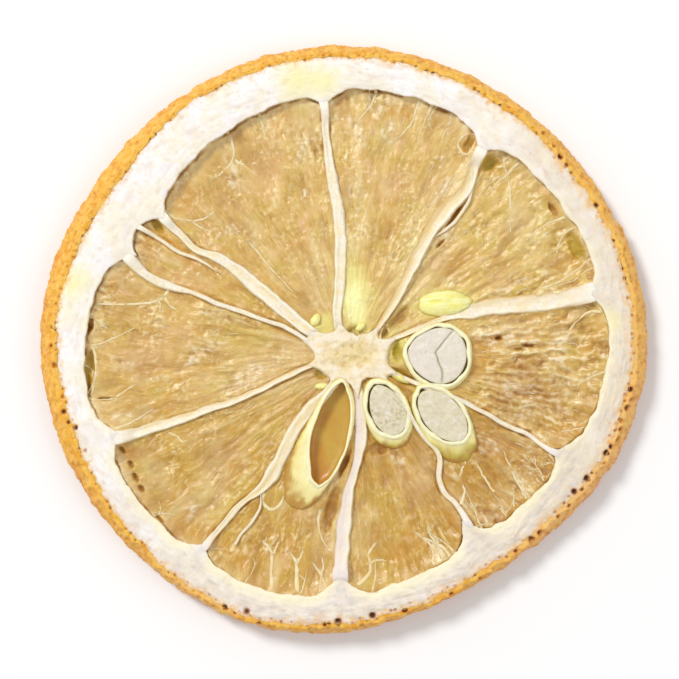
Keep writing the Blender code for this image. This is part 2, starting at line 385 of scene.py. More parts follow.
# How toasted the peel is in patches, together with painted shade that is deepest at the lower right,
# away from the lamp, and least at the upper left.
toast = 0.5 + 0.4 * toward(zest_turn, 285)[:, None] + 0.45 * rough(zest * 0.35, 27, 3)
outward = np.hypot(zest[..., 0], zest[..., 1]) - meets[:, None]
outward = fade(outward / np.maximum(foot - meets, 0.3)[:, None], 0.1, 0.9)
down = fade(RIM_HEIGHT - zest[..., 2] + 0.3 * rough(zest * 0.6, 31, 2), 0.2, 2.4)
outward = 0.6 * outward + 0.4 * outward * down
# At the right its cut edge is paler, a peach colour.
PEACHY = ((0, 0.3), (30, 0.1), (55, 0), (225, 0), (240, 0.35), (255, 0), (300, 0), (318, 0.5), (338, 0.6))
peachy = by_angle(PEACHY, zest_turn)[:, None] * face * (1 - 0.5 * outward)

rind = Finish("dried zest", 0.5, specular=0.25, soak=0.2, soak_colour=(1.0, 0.5, 0.2), soak_depth=0.6)
rind.coat((230, 158, 24))
rind.coat((238, 182, 52), rind.blotch(2.2, 3, 0.35, 0.65))
rind.coat((220, 146, 30), "outward", 0.7)
rind.coat((212, 136, 20), rind.blotch(0.45, 4, 0.48, 0.7, 0.6))
# Deeper orange where the peel is toasted, and painted shade towards the lower right.
rind.coat((212, 132, 24), rind.ramp("toast", 0.5, 1.1, 0.6))
rind.coat((208, 112, 24), rind.ramp("outward", 0.45, 1), rind.ramp("toast", 0.3, 1, 0.8))
rind.coat((244, 194, 96), "face", rind.blotch(0.5, 4, 0.35, 0.65, 0.85, 0.2))
rind.coat((250, 210, 112), rind.blotch(0.32, 3, 0.55, 0.7, 0.5))
rind.coat((190, 116, 30), rind.blotch(0.26, 3, 0.56, 0.72, 0.65))
rind.coat((254, 204, 138), "peachy")
rind.coat((204, 114, 38), "gland", 0.4)
rind.coat((206, 118, 40), rind.ramp("cut_gland", 0, 0.4, 0.6))
rind.coat((92, 52, 30), rind.ramp("cut_gland", 0.2, 0.85))
rind.bump(rind.noise(0.12, 4, 0.6), 0.03)
piece = closed_mesh(
    "zest", zest, [skin(*zest.shape[:2], True, True)], rind.material,
    face=face, gland=gland, cut_gland=cut_gland, toast=toast, outward=outward, peachy=peachy,
)
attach(piece, "root")
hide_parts("lemon_slice")

# ---------------------------------------------------------------------------------------------
# The pith is the white spongy layer under the zest. It dried into a firm ring with a softly
# fibrous cut face. Its inner edge bulges out behind each segment, and runs to a point where a
# membrane grows out of it.
# ---------------------------------------------------------------------------------------------
PITH_STEPS = 1160
PITH_RADIUS = 20.75
PITH_WAVES = ((1, 0.58, 320), (2, 0.71, 32), (3, 0.21, 108), (4, 0.41, 87))
CORE = np.array([1.0, -1.4])
# (angle of the membrane's end about the core, how far the pith runs out along it).
HORNS = (
    (14.3, 1.1), (57.9, 1.7), (96.3, 1.2), (143.6, 1.7), (155, 1.9), (198.5, 1.6), (232.2, 1.2), (267.4, 2),
    (303.8, 2.2), (335.2, 1.3),
)
HORN_WIDTH = 1.9
SHOULDER_WIDTH = 5
PITH_EDGE = 0.14
FACE_STEPS = 34
UNDERSIDE_STEPS = 8
# The yellow bruises on its face, as (x, y, size).
BRUISES = ((-3.6, 21.4, 1.6), (-1.2, 21.2, 1.2), (-22, 4.6, 1.5), (22, 1.5, 1))


def bell(value, middle, width):
    """1 in the middle, and a third of that a width away to either side."""
    return np.exp(-(((value - middle) / width) ** 2))


def near(distance, reach):
    """1 at no distance or less, and a third of that at its reach."""
    return np.exp(-np.maximum(distance, 0) / reach)


def pith_edge(angle):
    """Distance of the pith's inner edge from the middle of the slice."""
    base = wavy(PITH_RADIUS, PITH_WAVES, angle)
    base = base - 0.45 * bell(turned_from(angle, math.radians(140)), 0, 0.16)
    about_core = np.arctan2(base * np.sin(angle) - CORE[1], base * np.cos(angle) - CORE[0])
    edge = base + 0.13 * rough(spoke(angle) * 12, 40, 5)
    for at, depth in HORNS:
        away = np.degrees(np.abs(turned_from(about_core, math.radians(at))))
        edge = edge - depth * (0.65 * near(away, HORN_WIDTH) + 0.35 * bell(away, 0, SHOULDER_WIDTH))
    return edge


pith_turn = full_turn(PITH_STEPS)
foot, top, meets = ring_radii(pith_turn)
high = rim_top(pith_turn)
inner = pith_edge(pith_turn)
outer = meets + 0.1
section = []
for s in np.linspace(0, 1, FACE_STEPS):
    dome = 0.12 * math.sin(s * math.pi) - 0.06 * (1 - fade(s, 0, 0.05))
    section.append((outer + (inner + PITH_EDGE - outer) * s, high + dome))
for a in np.linspace(0, math.pi / 2, 5)[1:]:
    section.append((inner + PITH_EDGE * (1 - math.sin(a)), high - PITH_EDGE * (1 - math.cos(a))))
# The wall leans back under the edge, so that from above only the edge and its shadow show.
for s in np.linspace(0, 1, 12)[1:-1]:
    section.append((inner + 0.30 * s + 0.12 * math.sin(s * math.pi), (high - PITH_EDGE) * (1 - s) + 0.3 * s))
under = inner + 0.3
section += [(under, 0.3), (under + 0.08, 0.1), (under + 0.25, 0)]
outer_foot = foot - INNER_FOOT
for s in np.linspace(0, 1, UNDERSIDE_STEPS)[1:]:
    section.append((under + 0.25 + (outer_foot - under - 0.25) * s, 0.05 * math.sin(s * math.pi)))
section += [(outer_foot, 0.3), (meets + 0.05, high - 0.4)]
pith = carried_round(section, pith_turn)
radius = np.hypot(pith[..., 0], pith[..., 1])
height = pith[..., 2].copy()
out = normals_of(pith)
inward = fade(-(out[..., :2] * spoke(pith_turn)[:, None]).sum(-1), 0.6, 1)
# The sponge's grain runs askew round the ring: soft strands, faint hairs and a few torn pores.
laps = pith_turn[:, None] / TURN
askew = 0.8 * grain(pith * 0.35, 46) + 0.3 * grain(pith * 1.1, 44)
strand = grain(pair(laps * 90, radius * 1.9 + askew), 41, 90)
hair = grain(pair(laps * 130, radius * 4.6 + 2 * askew), 45, 130)
swell = rough(pith * 0.5, 42, 3)
pores = fade(rough(pith * 2.4, 43, 2), 0.42, 0.75)
# Its face dried smoother on the left than on the right and along the bottom.
coarser = 0.5 + 0.5 * fade(toward(pith_turn, 320)[:, None], -0.6, 0.5)
relief = coarser * (0.11 * swell + 0.07 * strand + 0.045 * hair - 0.07 * pores)
pith += out * relief[..., None]
gap = np.zeros(pith.shape[:2])
for spot, size, mark in cut_spots:
    pit(pith, pith_turn, out, spot, size, size, gap, mark, 0.05)
pith[..., 2] = np.maximum(pith[..., 2], 0)
# The ring has painted shade along the bottom, away from the lamp, that greys it there, is creamier on the
# right, has a bright line along its inner edge, and a few yellow bruises.
bottom = toward(pith_turn, 290)[:, None]
grey = fade(bottom + 0.6 * rough(pith * 0.3, 47, 3), -0.2, 1.2)
creamy = fade(toward(pith_turn, 358)[:, None] + 0.3 * rough(pith * 0.4, 49, 3), 0.3, 1)
from_edge = np.maximum(radius - inner[:, None], 0)
broad = 0.2 + 0.5 * fade(toward(pith_turn, 262)[:, None] + 0.3 * swell, 0.2, 1)
inner_band = bell(from_edge, 0.16, broad) * fade(bottom + 0.3 * swell, -0.9, 0.6)
about_core = np.arctan2(pith[..., 1] - CORE[1], pith[..., 0] - CORE[0])
for at, depth in HORNS:
    inner_band *= 1 - bell(np.degrees(turned_from(about_core, math.radians(at))), 0, 2)
yellow = sum(
    np.exp(-((pith[..., 0] - x) ** 2 + (pith[..., 1] - y) ** 2) / size**2) for x, y, size in BRUISES
)

white = Finish("dried pith", 0.85, specular=0.2, soak=0.25, soak_colour=(1.0, 0.85, 0.65), soak_depth=0.6)
white.coat((252, 247, 244))
white.coat((250, 241, 222), white.blotch(2.4, 4, 0.42, 0.62))
white.coat((238, 224, 204), white.blotch(0.6, 5, 0.48, 0.72, 0.5, roughness=0.65))
# Painted shade along the bottom, and grey mottling there.
white.coat((238, 225, 208), "grey", 0.75)
white.coat((234, 220, 194), "creamy", 0.75)
white.coat((238, 228, 230), white.blotch(0.9, 4, 0.52, 0.7, 0.4))
white.coat((226, 204, 184), "strand", 0.5)
white.coat((206, 194, 184), "fibre")
white.coat((206, 200, 194), "grey", white.blotch(0.7, 4, 0.4, 0.66, 0.5, roughness=0.6))
white.coat((250, 240, 170), "yellow", 0.7)
white.coat((254, 244, 208), "inner_band", 0.8)
white.coat((236, 206, 148), "inward", 0.5)
white.coat((242, 192, 124), "by_zest", white.blotch(0.3, 4, 0.36, 0.62, 1.3, 0.35))
white.coat((208, 136, 84), white.ramp("gap", 0, 0.4, 0.6))
white.coat((92, 56, 38), white.ramp("gap", 0.2, 0.85))
white.bump(white.noise(0.14, 5, 0.7), 0.05)
# The zest's oil has soaked in unevenly beside it, and furthest on the right and along the bottom.
soaked = 0.55 + 0.45 * fade(toward(pith_turn, 335)[:, None], -0.8, 0.5)
bleed = soaked * (0.25 + 0.45 * fade(rough(pith * (1.6, 1.6, 1), 48, 3), -0.1, 0.6))
by_zest = 0.9 * np.exp(-((np.maximum(meets[:, None] - radius, 0) / bleed) ** 1.5))
by_zest *= height > RIM_HEIGHT / 2
piece = closed_mesh(
    "pith", pith, [skin(*pith.shape[:2], True, True)[:, ::-1]], white.material,
    strand=fade(-strand, 0.1, 0.8) * 0.7 + pores * 0.6, inward=inward, by_zest=by_zest, gap=gap, grey=grey,
    yellow=np.clip(yellow, 0, 1), inner_band=inner_band, creamy=creamy,
    fibre=fade(-hair, 0.1, 0.8) * (0.12 + 0.4 * fade(bottom, -0.4, 0.8) * fade(swell, -0.3, 0.4)),
)
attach(piece, "root")
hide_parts("lemon_slice")

# ---------------------------------------------------------------------------------------------
# The core is the white column up the middle of the fruit. Cut across and dried, it is a small
# star whose arms run out into the membranes, with a sunk spongy patch in its middle.
# ---------------------------------------------------------------------------------------------
CORE_TOP = 2.42
CORE_FOOT = 0.95
CORE_STEPS = 420
CORE_ROWS = 34
# (angle about the core, length, half width in degrees) of each arm.
ARMS = (
    (22, 1.6, 6), (47, 1.3, 8), (111, 1.2, 9), (150, 1.9, 8), (163, 1.3, 7), (192, 1.3, 8), (238, 1.1, 8),
    (279, 2, 9), (325, 1.5, 6), (339, 1.5, 6),
)
CORE_RADIUS = 2.35
CORE_WAVES = ((2, 0.50, 178), (3, 0.12, 120))
# The sunk patch in its middle: x, y, half length, half width, turn.
SPONGE = (1, -1.25, 2.6, 1.25, 4)


def oval(x, y, across, up, half_length, half_width, turn):
    """How far out a point is in an oval, which is 1 along its outline."""
    c, s = math.cos(math.radians(turn)), math.sin(math.radians(turn))
    along, aside = (x - across) * c + (y - up) * s, (y - up) * c - (x - across) * s
    return np.hypot(along / half_length, aside / half_width)


def stack_faces(rows, columns):
    """The skin over a stack of rings, shut by one small face at both ends."""
    first = np.arange(columns)[None]
    return [skin(rows, columns, False, True), first, first[:, ::-1] + (rows - 1) * columns]


def core_edge(angle):
    """Distance of the star's outline from its own middle."""
    star = wavy(CORE_RADIUS, CORE_WAVES, angle) + 0.14 * rough(spoke(angle) * 3.1, 51, 3)
    for at, length, width in ARMS:
        star = star + length * near(np.abs(np.degrees(turned_from(angle, math.radians(at)))), width)
    return star


core_turn = full_turn(CORE_STEPS)
star = core_edge(core_turn)
# Rows of points from its middle over its edge to its foot, as (share of the star, height).
shares = [*np.linspace(0.03, 0.9, CORE_ROWS), *(0.9 + 0.1 * np.sin(np.linspace(0, math.pi / 2, 6)[1:]))]
rows = [(share, 1 - 50 * max(share - 0.9, 0) ** 2) for share in shares]
rows += [(1, 0.25), (0.95, 0), (0.6, -0.1), (0.05, -0.1)]
core = np.stack([
    np.column_stack([
        CORE + share * star[:, None] * spoke(core_turn),
        np.full(CORE_STEPS, CORE_FOOT + (CORE_TOP - CORE_FOOT) * level),
    ]) for share, level in rows
])
upper = fade(core[..., 2], CORE_FOOT + 0.3, CORE_TOP - 0.2)
sponge = 1 - fade(oval(core[..., 0], core[..., 1], *SPONGE) + 0.3 * rough(core * 0.9, 52, 3), 0.6, 1.15)
holes = fade(rough(core * 1.9, 53, 3), -0.1, 0.9)
relief = 0.13 * rough(core * 0.5, 54, 3) + 0.05 * rough(core * 2.2, 55, 3)
core[..., 2] += upper * (relief - sponge * (0.16 + 0.12 * holes))
sponge *= upper
column = Finish("dried core", 0.8, specular=0.25, soak=0.3, soak_colour=(1.0, 0.75, 0.5), soak_depth=0.8)
column.coat((248, 235, 214))
column.coat((240, 221, 182), column.blotch(0.8, 4, 0.4, 0.7))
column.coat((236, 214, 158), "sponge")
column.coat((226, 204, 140), column.blotch(0.5, 3, 0.5, 0.7, 0.5))
column.coat((214, 188, 116), "holes")
column.coat((206, 158, 92), "low")
column.bump(column.noise(0.16, 5, 0.65), 0.05)
piece = closed_mesh(
    "core", core, stack_faces(len(rows), CORE_STEPS), column.material,
    sponge=sponge * 0.8, holes=sponge * holes * 0.7, low=(1 - upper) * 0.85,
)
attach(piece, "root")
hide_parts("lemon_slice")

# ---------------------------------------------------------------------------------------------
# The seeds were cut through with the slice. Each has a tough pale husk, open like a small bowl,
# which leans under the flesh. One husk lost its kernel, and its glossy brown inside shows.
# ---------------------------------------------------------------------------------------------
HUSK_TOP = 2.78
HUSK_WAIST = 1.65
HUSK_FOOT = 0.35
HUSK_STEPS = 200
# The first of its rings that lie on its outside.
HUSK_OUTER = 20
# Each husk: middle of its mouth, length, width and turn of the mouth's outer edge, how much its
# first end is narrower, how pointed its ends are, its wall, its floor's height, how far its body
# leans out from under one side of the mouth and swells all round, how green that side is, and how
# far below its mouth its outside starts to darken to brown, painted shade where it goes down under
# the flesh.
HUSKS = {
    "right": dict(middle=(8.08, -1.32), size=(5.6, 5.3), turn=172, egg=0.17, point=0.05, wall=0.32,
                  floor=2.2, lean=(0.05, -0.15), swell=0.12, green=0.5),
    "middle": dict(middle=(3.86, -5.72), size=(5.35, 3.65), turn=115, egg=0.14, point=0.08, wall=0.38,
                   floor=2.15, lean=(0.15, -0.7), swell=0.15, green=0.7),
    "low": dict(middle=(8.42, -6.22), size=(6.0, 3.85), turn=133, egg=0.02, point=0.12, wall=0.33,
                floor=2.15, lean=(0.45, -1.4), swell=0.15, green=1.0),
    "empty": dict(middle=(-0.78, -7.75), size=(9.2, 3.4), turn=76.5, egg=0.05, point=0.35, wall=0.25,
                  floor=1.55, lean=(-1.75, -2.0), swell=0.2, green=0.45, browned=0.2),
}


def ring(size, turn, egg, point, turns):
    """An egg-shaped ring in plan about its own middle, narrower at its first end, pointed at both."""
    along = size[0] / 2 * np.cos(turns)
    aside = size[1] / 2 * np.sign(np.sin(turns)) * np.abs(np.sin(turns)) ** (1 + point)
    aside = aside * (1 - egg * np.cos(turns))
    c, s = math.cos(math.radians(turn)), math.sin(math.radians(turn))
    return pair(along * c - aside * s, along * s + aside * c)


def loft(stations, husk, turns):
    """Rings of one egg shape, each (inset, share of its size, how far it leans and rounds, height)."""
    rings = []
    lean = np.array(husk["lean"])
    for inset, share, leaning, level in stations:
        size = [(full - 2 * inset) * share for full in husk["size"]]
        flat = ring(size, husk["turn"], husk["egg"], husk["point"] * (1 - 1.1 * leaning), turns)
        facing = flat @ lean / np.maximum(np.linalg.norm(flat, axis=-1) * np.linalg.norm(lean), 1e-9)
        flat = husk["middle"] + flat + lean * (leaning * (0.5 + 0.5 * facing) ** 1.6)[:, None]
        rings.append(np.concatenate([flat, np.full((len(turns), 1), level)], -1))
    return np.stack(rings)


shell = Finish("seed husk", 0.42, specular=0.5, soak=0.3, soak_colour=(1.0, 0.8, 0.4), soak_depth=0.7)
shell.coat((248, 235, 168))
shell.coat((238, 221, 130), shell.blotch(1.2, 3, 0.35, 0.65))
shell.coat((194, 180, 72), "green")
# Painted shade where the husk goes down under the flesh.
shell.coat((192, 142, 66), "buried")
shell.coat((252, 244, 198), "lip")
shell.coat((204, 166, 70), "inside")
# A brown stain inside in patches, with painted shade towards the left, under the rim on the lamp's side.
shell.coat((198, 140, 50), "stain")
# Painted shade down the gap round a kernel.
shell.coat((112, 98, 44), "rim_gap")
shell.gloss(shell.blotch(0.6, 3, 0.3, 0.7, 0.5, 0.3))
shell.bump(shell.noise((0.35, 0.35, 0.9), 3), 0.02)
husk_turns = full_turn(HUSK_STEPS)
for number, (name, husk) in enumerate(HUSKS.items()):
    around = spoke(husk_turns)
    wall, floor_at = husk["wall"], husk["floor"]
    thick = wall * (1 + 0.35 * grain(around * 2.1 + number, 124))
    rounded = HUSK_TOP - wall / 2
    # From the middle of the floor up the inner wall, over the rim, and down round the outside.
    stations = []
    for share in (0.04, 0.25, 0.45, 0.62, 0.76, 0.86):
        stations.append((thick, share, 0, floor_at + 0.2 * share**3))
    for s in np.linspace(0, 1, 7):
        level = floor_at + 0.25 + (rounded - floor_at - 0.25) * s
        stations.append((thick - 0.05 * math.sin(s * math.pi), 0.96 + 0.04 * s**0.5, 0, level))
    for a in np.linspace(0, math.pi, 9)[1:-1]:
        stations.append((thick / 2 * (1 + math.cos(a)), 1, 0, HUSK_TOP - wall / 2 * (1 - math.sin(a))))
    for a in np.linspace(0, math.pi / 2, 14):
        level = rounded - (rounded - HUSK_WAIST) * (1 - math.cos(a))
        stations.append((-husk["swell"] * math.sin(a), 1, math.sin(a), level))
    for a in np.linspace(0, math.pi / 2, 9)[1:]:
        level = HUSK_FOOT + (HUSK_WAIST - HUSK_FOOT) * (1 - math.sin(a))
        stations.append((-husk["swell"], max(math.cos(a), 0.04), 1, level))
    grid = loft(stations, husk, husk_turns)
    middle = np.array(husk["middle"])
    wobble = 1 + 0.035 * rough(around * 1.6 + number, 120, 3)
    grid[..., :2] = middle + (grid[..., :2] - middle) * wobble[:, None]
    rise = fade(grid[..., 2], 1.4, HUSK_TOP)
    grid[..., 2] += rise * 0.09 * rough(grid[..., :2] * 0.8, 121 + number, 3)
    grid[..., 2] -= rise * 0.14 * (grid[..., 0] - middle[0] + middle[1] - grid[..., 1]) / husk["size"][0]
    inside, lip, outer = np.zeros((3, *grid.shape[:2]))
    inside[:11] = 1
    inside[11:13] = ((0.6,), (0.2,))
    lip[11:21] = np.array([0.3, 0.8, 1, 1, 1, 1, 1, 1, 0.9, 0.8])[:, None]
    lip[21:26] = np.array([0.7, 0.6, 0.4, 0.25, 0.1])[:, None] * (1.2 - husk["green"])
    outer[HUSK_OUTER:] = 1
    depth = HUSK_TOP - grid[..., 2]
    sunk = fade(depth + 0.2 * grain(grid * 0.9, 122), 0.08, 0.5)
    green = outer * husk["green"] * sunk
    # Its outside darkens to brown further down, painted shade where it goes under the flesh.
    browned = husk.get("browned", 0.3)
    buried = outer * 0.92 * fade(depth + 0.3 * rough(grid * 1.7, 125, 2), browned, browned + 0.36)
    # Inside it is stained browner in patches, and painted shade darkens it towards its left, under the rim
    # on the lamp's side.
    stained = rough(grid * (0.5, 0.5, 0.2), 123, 3) - 0.5 * (grid[..., 0] - middle[0])
    stain = inside * fade(stained, -0.3, 0.9)
    # Under a kernel its inside is painted dark, as the shade down the thin gap round the kernel.
    rim_gap = inside * (husk["floor"] > 2) * 0.8
    piece = closed_mesh(
        f"husk_{name}", grid, stack_faces(len(stations), HUSK_STEPS), shell.material,
        green=green, buried=buried, lip=lip, inside=inside, stain=stain, rim_gap=rim_gap,
    )
    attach(piece, "root")
    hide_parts("lemon_slice")

# ---------------------------------------------------------------------------------------------
# The kernels are the hard insides of three of the seeds, cut flat with the slice. They shrank a
# little, so a thin dark gap parts them from their husks. One shows the fold of its seed leaves.
# ---------------------------------------------------------------------------------------------
KERNEL_TOP = 2.7
KERNEL_ROWS = 30
# Where the fold of the right one's seed leaves runs, as (y, x) from its middle.
SEAM = ((-2.4, 0.45), (-1.2, 0.4), (-0.5, 0.1), (0.2, -0.1), (0.9, 0.35), (2.2, 1.45))
# How far each kernel stands off the husk, where it slid to, how mottled it is and how lilac.
KERNELS = {
    "right": dict(clear=0.03, slid=(-0.04, 0.04), mottled=0.1, lilac=0.9),
    "middle": dict(clear=0.06, slid=(0.07, -0.07), mottled=0.9, lilac=0.3),
    "low": dict(clear=0.04, slid=(0.06, -0.05), mottled=0.35, lilac=0.3),
}
almond = Finish("seed kernel", 0.55, specular=0.4, soak=0.3, soak_colour=(1.0, 0.9, 0.7), soak_depth=0.6)
almond.coat((227, 217, 184))
almond.coat((216, 205, 167), almond.blotch(0.9, 4, 0.4, 0.65))
almond.coat((234, 225, 214), "lilac")
almond.coat((208, 197, 168), almond.blotch(0.22, 4, 0.45, 0.7, 0.4, roughness=0.6))
almond.coat((240, 233, 226), almond.blotch(0.5, 3, 0.54, 0.7, 0.7))
almond.coat((166, 150, 112), "mottle", almond.blotch(0.3, 3, 0.47, 0.62))
almond.coat((206, 192, 140), "mottle", 0.3)
# Painted shade in the fold's groove and, darker, on the sides down in the gap round each kernel.
almond.coat((160, 152, 116), "fold")
almond.coat((140, 116, 62), "side")
almond.bump(almond.noise(0.18, 4, 0.6), 0.035)
for number, (name, kernel) in enumerate(KERNELS.items()):
    husk = dict(HUSKS[name])
    husk["middle"] = np.array(husk["middle"]) + kernel["slid"]
    inset = husk["wall"] + kernel["clear"]
    stations = [(inset, share, 0, KERNEL_TOP) for share in np.linspace(0.03, 0.93, KERNEL_ROWS)]
    for a in np.linspace(0, math.pi / 2, 5)[1:]:
        stations.append((inset, 0.93 + 0.07 * math.sin(a), 0, KERNEL_TOP - 0.14 * (1 - math.cos(a))))
    foot = ((1, 0.05, 2.2), (0.97, 0.1, 1.9), (0.7, 0.1, 1.85), (0.05, 0.1, 1.85))
    stations += [(inset, *station) for station in foot]
    grid = loft(stations, husk, husk_turns)
    facing, fold, leaf = np.zeros((3, *grid.shape[:2]))
    facing[:KERNEL_ROWS] = 1
    facing[KERNEL_ROWS:KERNEL_ROWS + 2] = 0.5
    x, y = grid[..., 0] - husk["middle"][0], grid[..., 1] - husk["middle"][1]
    wander = rough(grid[..., :2] * 0.8 + 3 * number, 130, 3)
    if name == "right":
        seam = np.interp(y, *zip(*SEAM)) + 0.08 * wander
        fold = bell(x, seam, 0.08) * fade(y, -2.6, -2)
        leaf = 0.08 * fade(x - seam, 0, 0.35)
    mottle = kernel["mottled"] * fade(rough(grid[..., :2] * 0.7, 131 + number, 2), -0.9, 0.6)
    wrinkle = kernel["mottled"] * rough(grid[..., :2] * 2.6, 133 + number, 2)
    grid[..., 2] += facing * (0.06 * wander + leaf - 0.10 * fold - 0.03 * wrinkle + 0.02)
    grid[..., 2] -= facing * 0.14 * (x - y) / husk["size"][0]
    lilac = kernel["lilac"] * (0.85 + 0.15 * fade(-x + 0.5 * wander, -0.8, 1.2)) * facing
    # Its sides, down in the gap, and its fold are painted dark as shade.
    piece = closed_mesh(
        f"kernel_{name}", grid, stack_faces(len(stations), HUSK_STEPS), almond.material,
        lilac=lilac, mottle=0.6 * mottle * facing, fold=0.8 * fold * facing, side=(facing == 0) * 0.9,
    )
    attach(piece, "root")
    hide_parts("lemon_slice")

# ---------------------------------------------------------------------------------------------
# The flecks are seeds that never grew. They dried to soft, bright yellow scales that lie on the
# flesh beside a membrane, half see-through.
# ---------------------------------------------------------------------------------------------
FLECK_STEPS = 120
# (name, x, y, length, width, turn, how pointed, height).
FLECKS = (
    ("lump", 1.75, 1.05, 1.0, 0.5, 35, 0.1, 2.45),
    ("right", 8.72, 3.0, 4.5, 2.2, 4, 0.12, 2.42),
    ("small", -1.98, 1.64, 1.15, 0.75, 58, 0.0, 2.50),
    ("smaller", -1.40, -3.85, 1.4, 0.6, 5, 0.1, 2.42),
    ("husk_tip", 5.0, -3.15, 2.0, 0.65, -28, 0.2, 2.30),
)
scale = Finish("unripe seed", 0.4, specular=0.5, soak=0.5, soak_colour=(1.0, 0.9, 0.4), soak_depth=0.9)
scale.coat((250, 240, 150))
scale.coat((246, 230, 112), scale.blotch(0.6, 3, 0.4, 0.65))
scale.coat((253, 248, 190), "stripe", 0.7)
scale.coat((242, 226, 116), "rim")
scale.bump(scale.noise(0.2, 3), 0.03)
fleck_turns = full_turn(FLECK_STEPS)
for number, (name, x, y, length, width, turn, point, level) in enumerate(FLECKS):
    body = dict(middle=(x, y), size=(length, width), turn=turn, egg=0.12, point=point, lean=(0, 0))
    dome = np.linspace(0.05, 1, 16)
    stations = [(0, share, 0, level - 0.34 * share**3) for share in dome]
    stations += [(0, share, 0, level - 0.36 - 0.35 * (1 - share**2)) for share in (0.9, 0.6, 0.05)]
    grid = loft(stations, body, fleck_turns)
    facing = (np.arange(len(stations)) < len(dome) - 1)[:, None] * np.ones(FLECK_STEPS)
    # Its veins run from end to end and bow out with its outline.
    c, s = math.cos(math.radians(turn)), math.sin(math.radians(turn))
    east, north = grid[..., 0] - x, grid[..., 1] - y
    along, aside = east * c + north * s, north * c - east * s
    bow = aside / width / np.sqrt(np.maximum(1 - (along / length) ** 2 * 3, 0.15))
    stripes = 0.5 + 0.5 * grain(pair(bow * 9, along * 0.5 + number), 141) * 2
    grid[..., 2] += facing * (0.05 * stripes + 0.08 * rough(grid[..., :2] * 0.7, 140 + number, 3))
    wobble = 1 + 0.06 * grain(spoke(fleck_turns) * 1.7 + number, 142)
    grid[..., :2] = (x, y) + (grid[..., :2] - (x, y)) * wobble[:, None]
    rim = np.concatenate([fade(dome, 0.75, 1.0), (1, 1, 1)])[:, None] * np.ones(FLECK_STEPS)
    piece = closed_mesh(
        f"fleck_{name}", grid, stack_faces(len(stations), FLECK_STEPS), scale.material,
        stripe=np.clip(stripes, 0, 1) * facing, rim=rim * 0.6,
    )
    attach(piece, "root")
    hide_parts("lemon_slice")

# ---------------------------------------------------------------------------------------------
# The membranes are the thin skins between the segments. They dried to tough white ribs that
# stand a little above the flesh and run from the core into the pith. The broader ones lie folded
# over, with a bright lip along each side.
# ---------------------------------------------------------------------------------------------
FILM_TOP = 1.95
FILM_BOTTOM = 1.2
RIB_STEP = 0.1
RIB_END = 22


def rib_of(way, widths, tall=0.3, split=0.0, thin=0.0, sheer=0.5, soft=0.0, lilac=0.0):
    """A rib: its way out from the core as (distance, angle) about the core, its width as (distance,
    width), its height above the flesh, how far it is split into two lips, how thin it runs out to
    one side (positive is left, looking out from the core), how see-through it is, how softly its
    edges end, and how lilac its right half is."""
    looks = dict(tall=tall, split=split, thin=thin, sheer=sheer, soft=soft, lilac=lilac)
    return dict(way=way, widths=widths, **looks)


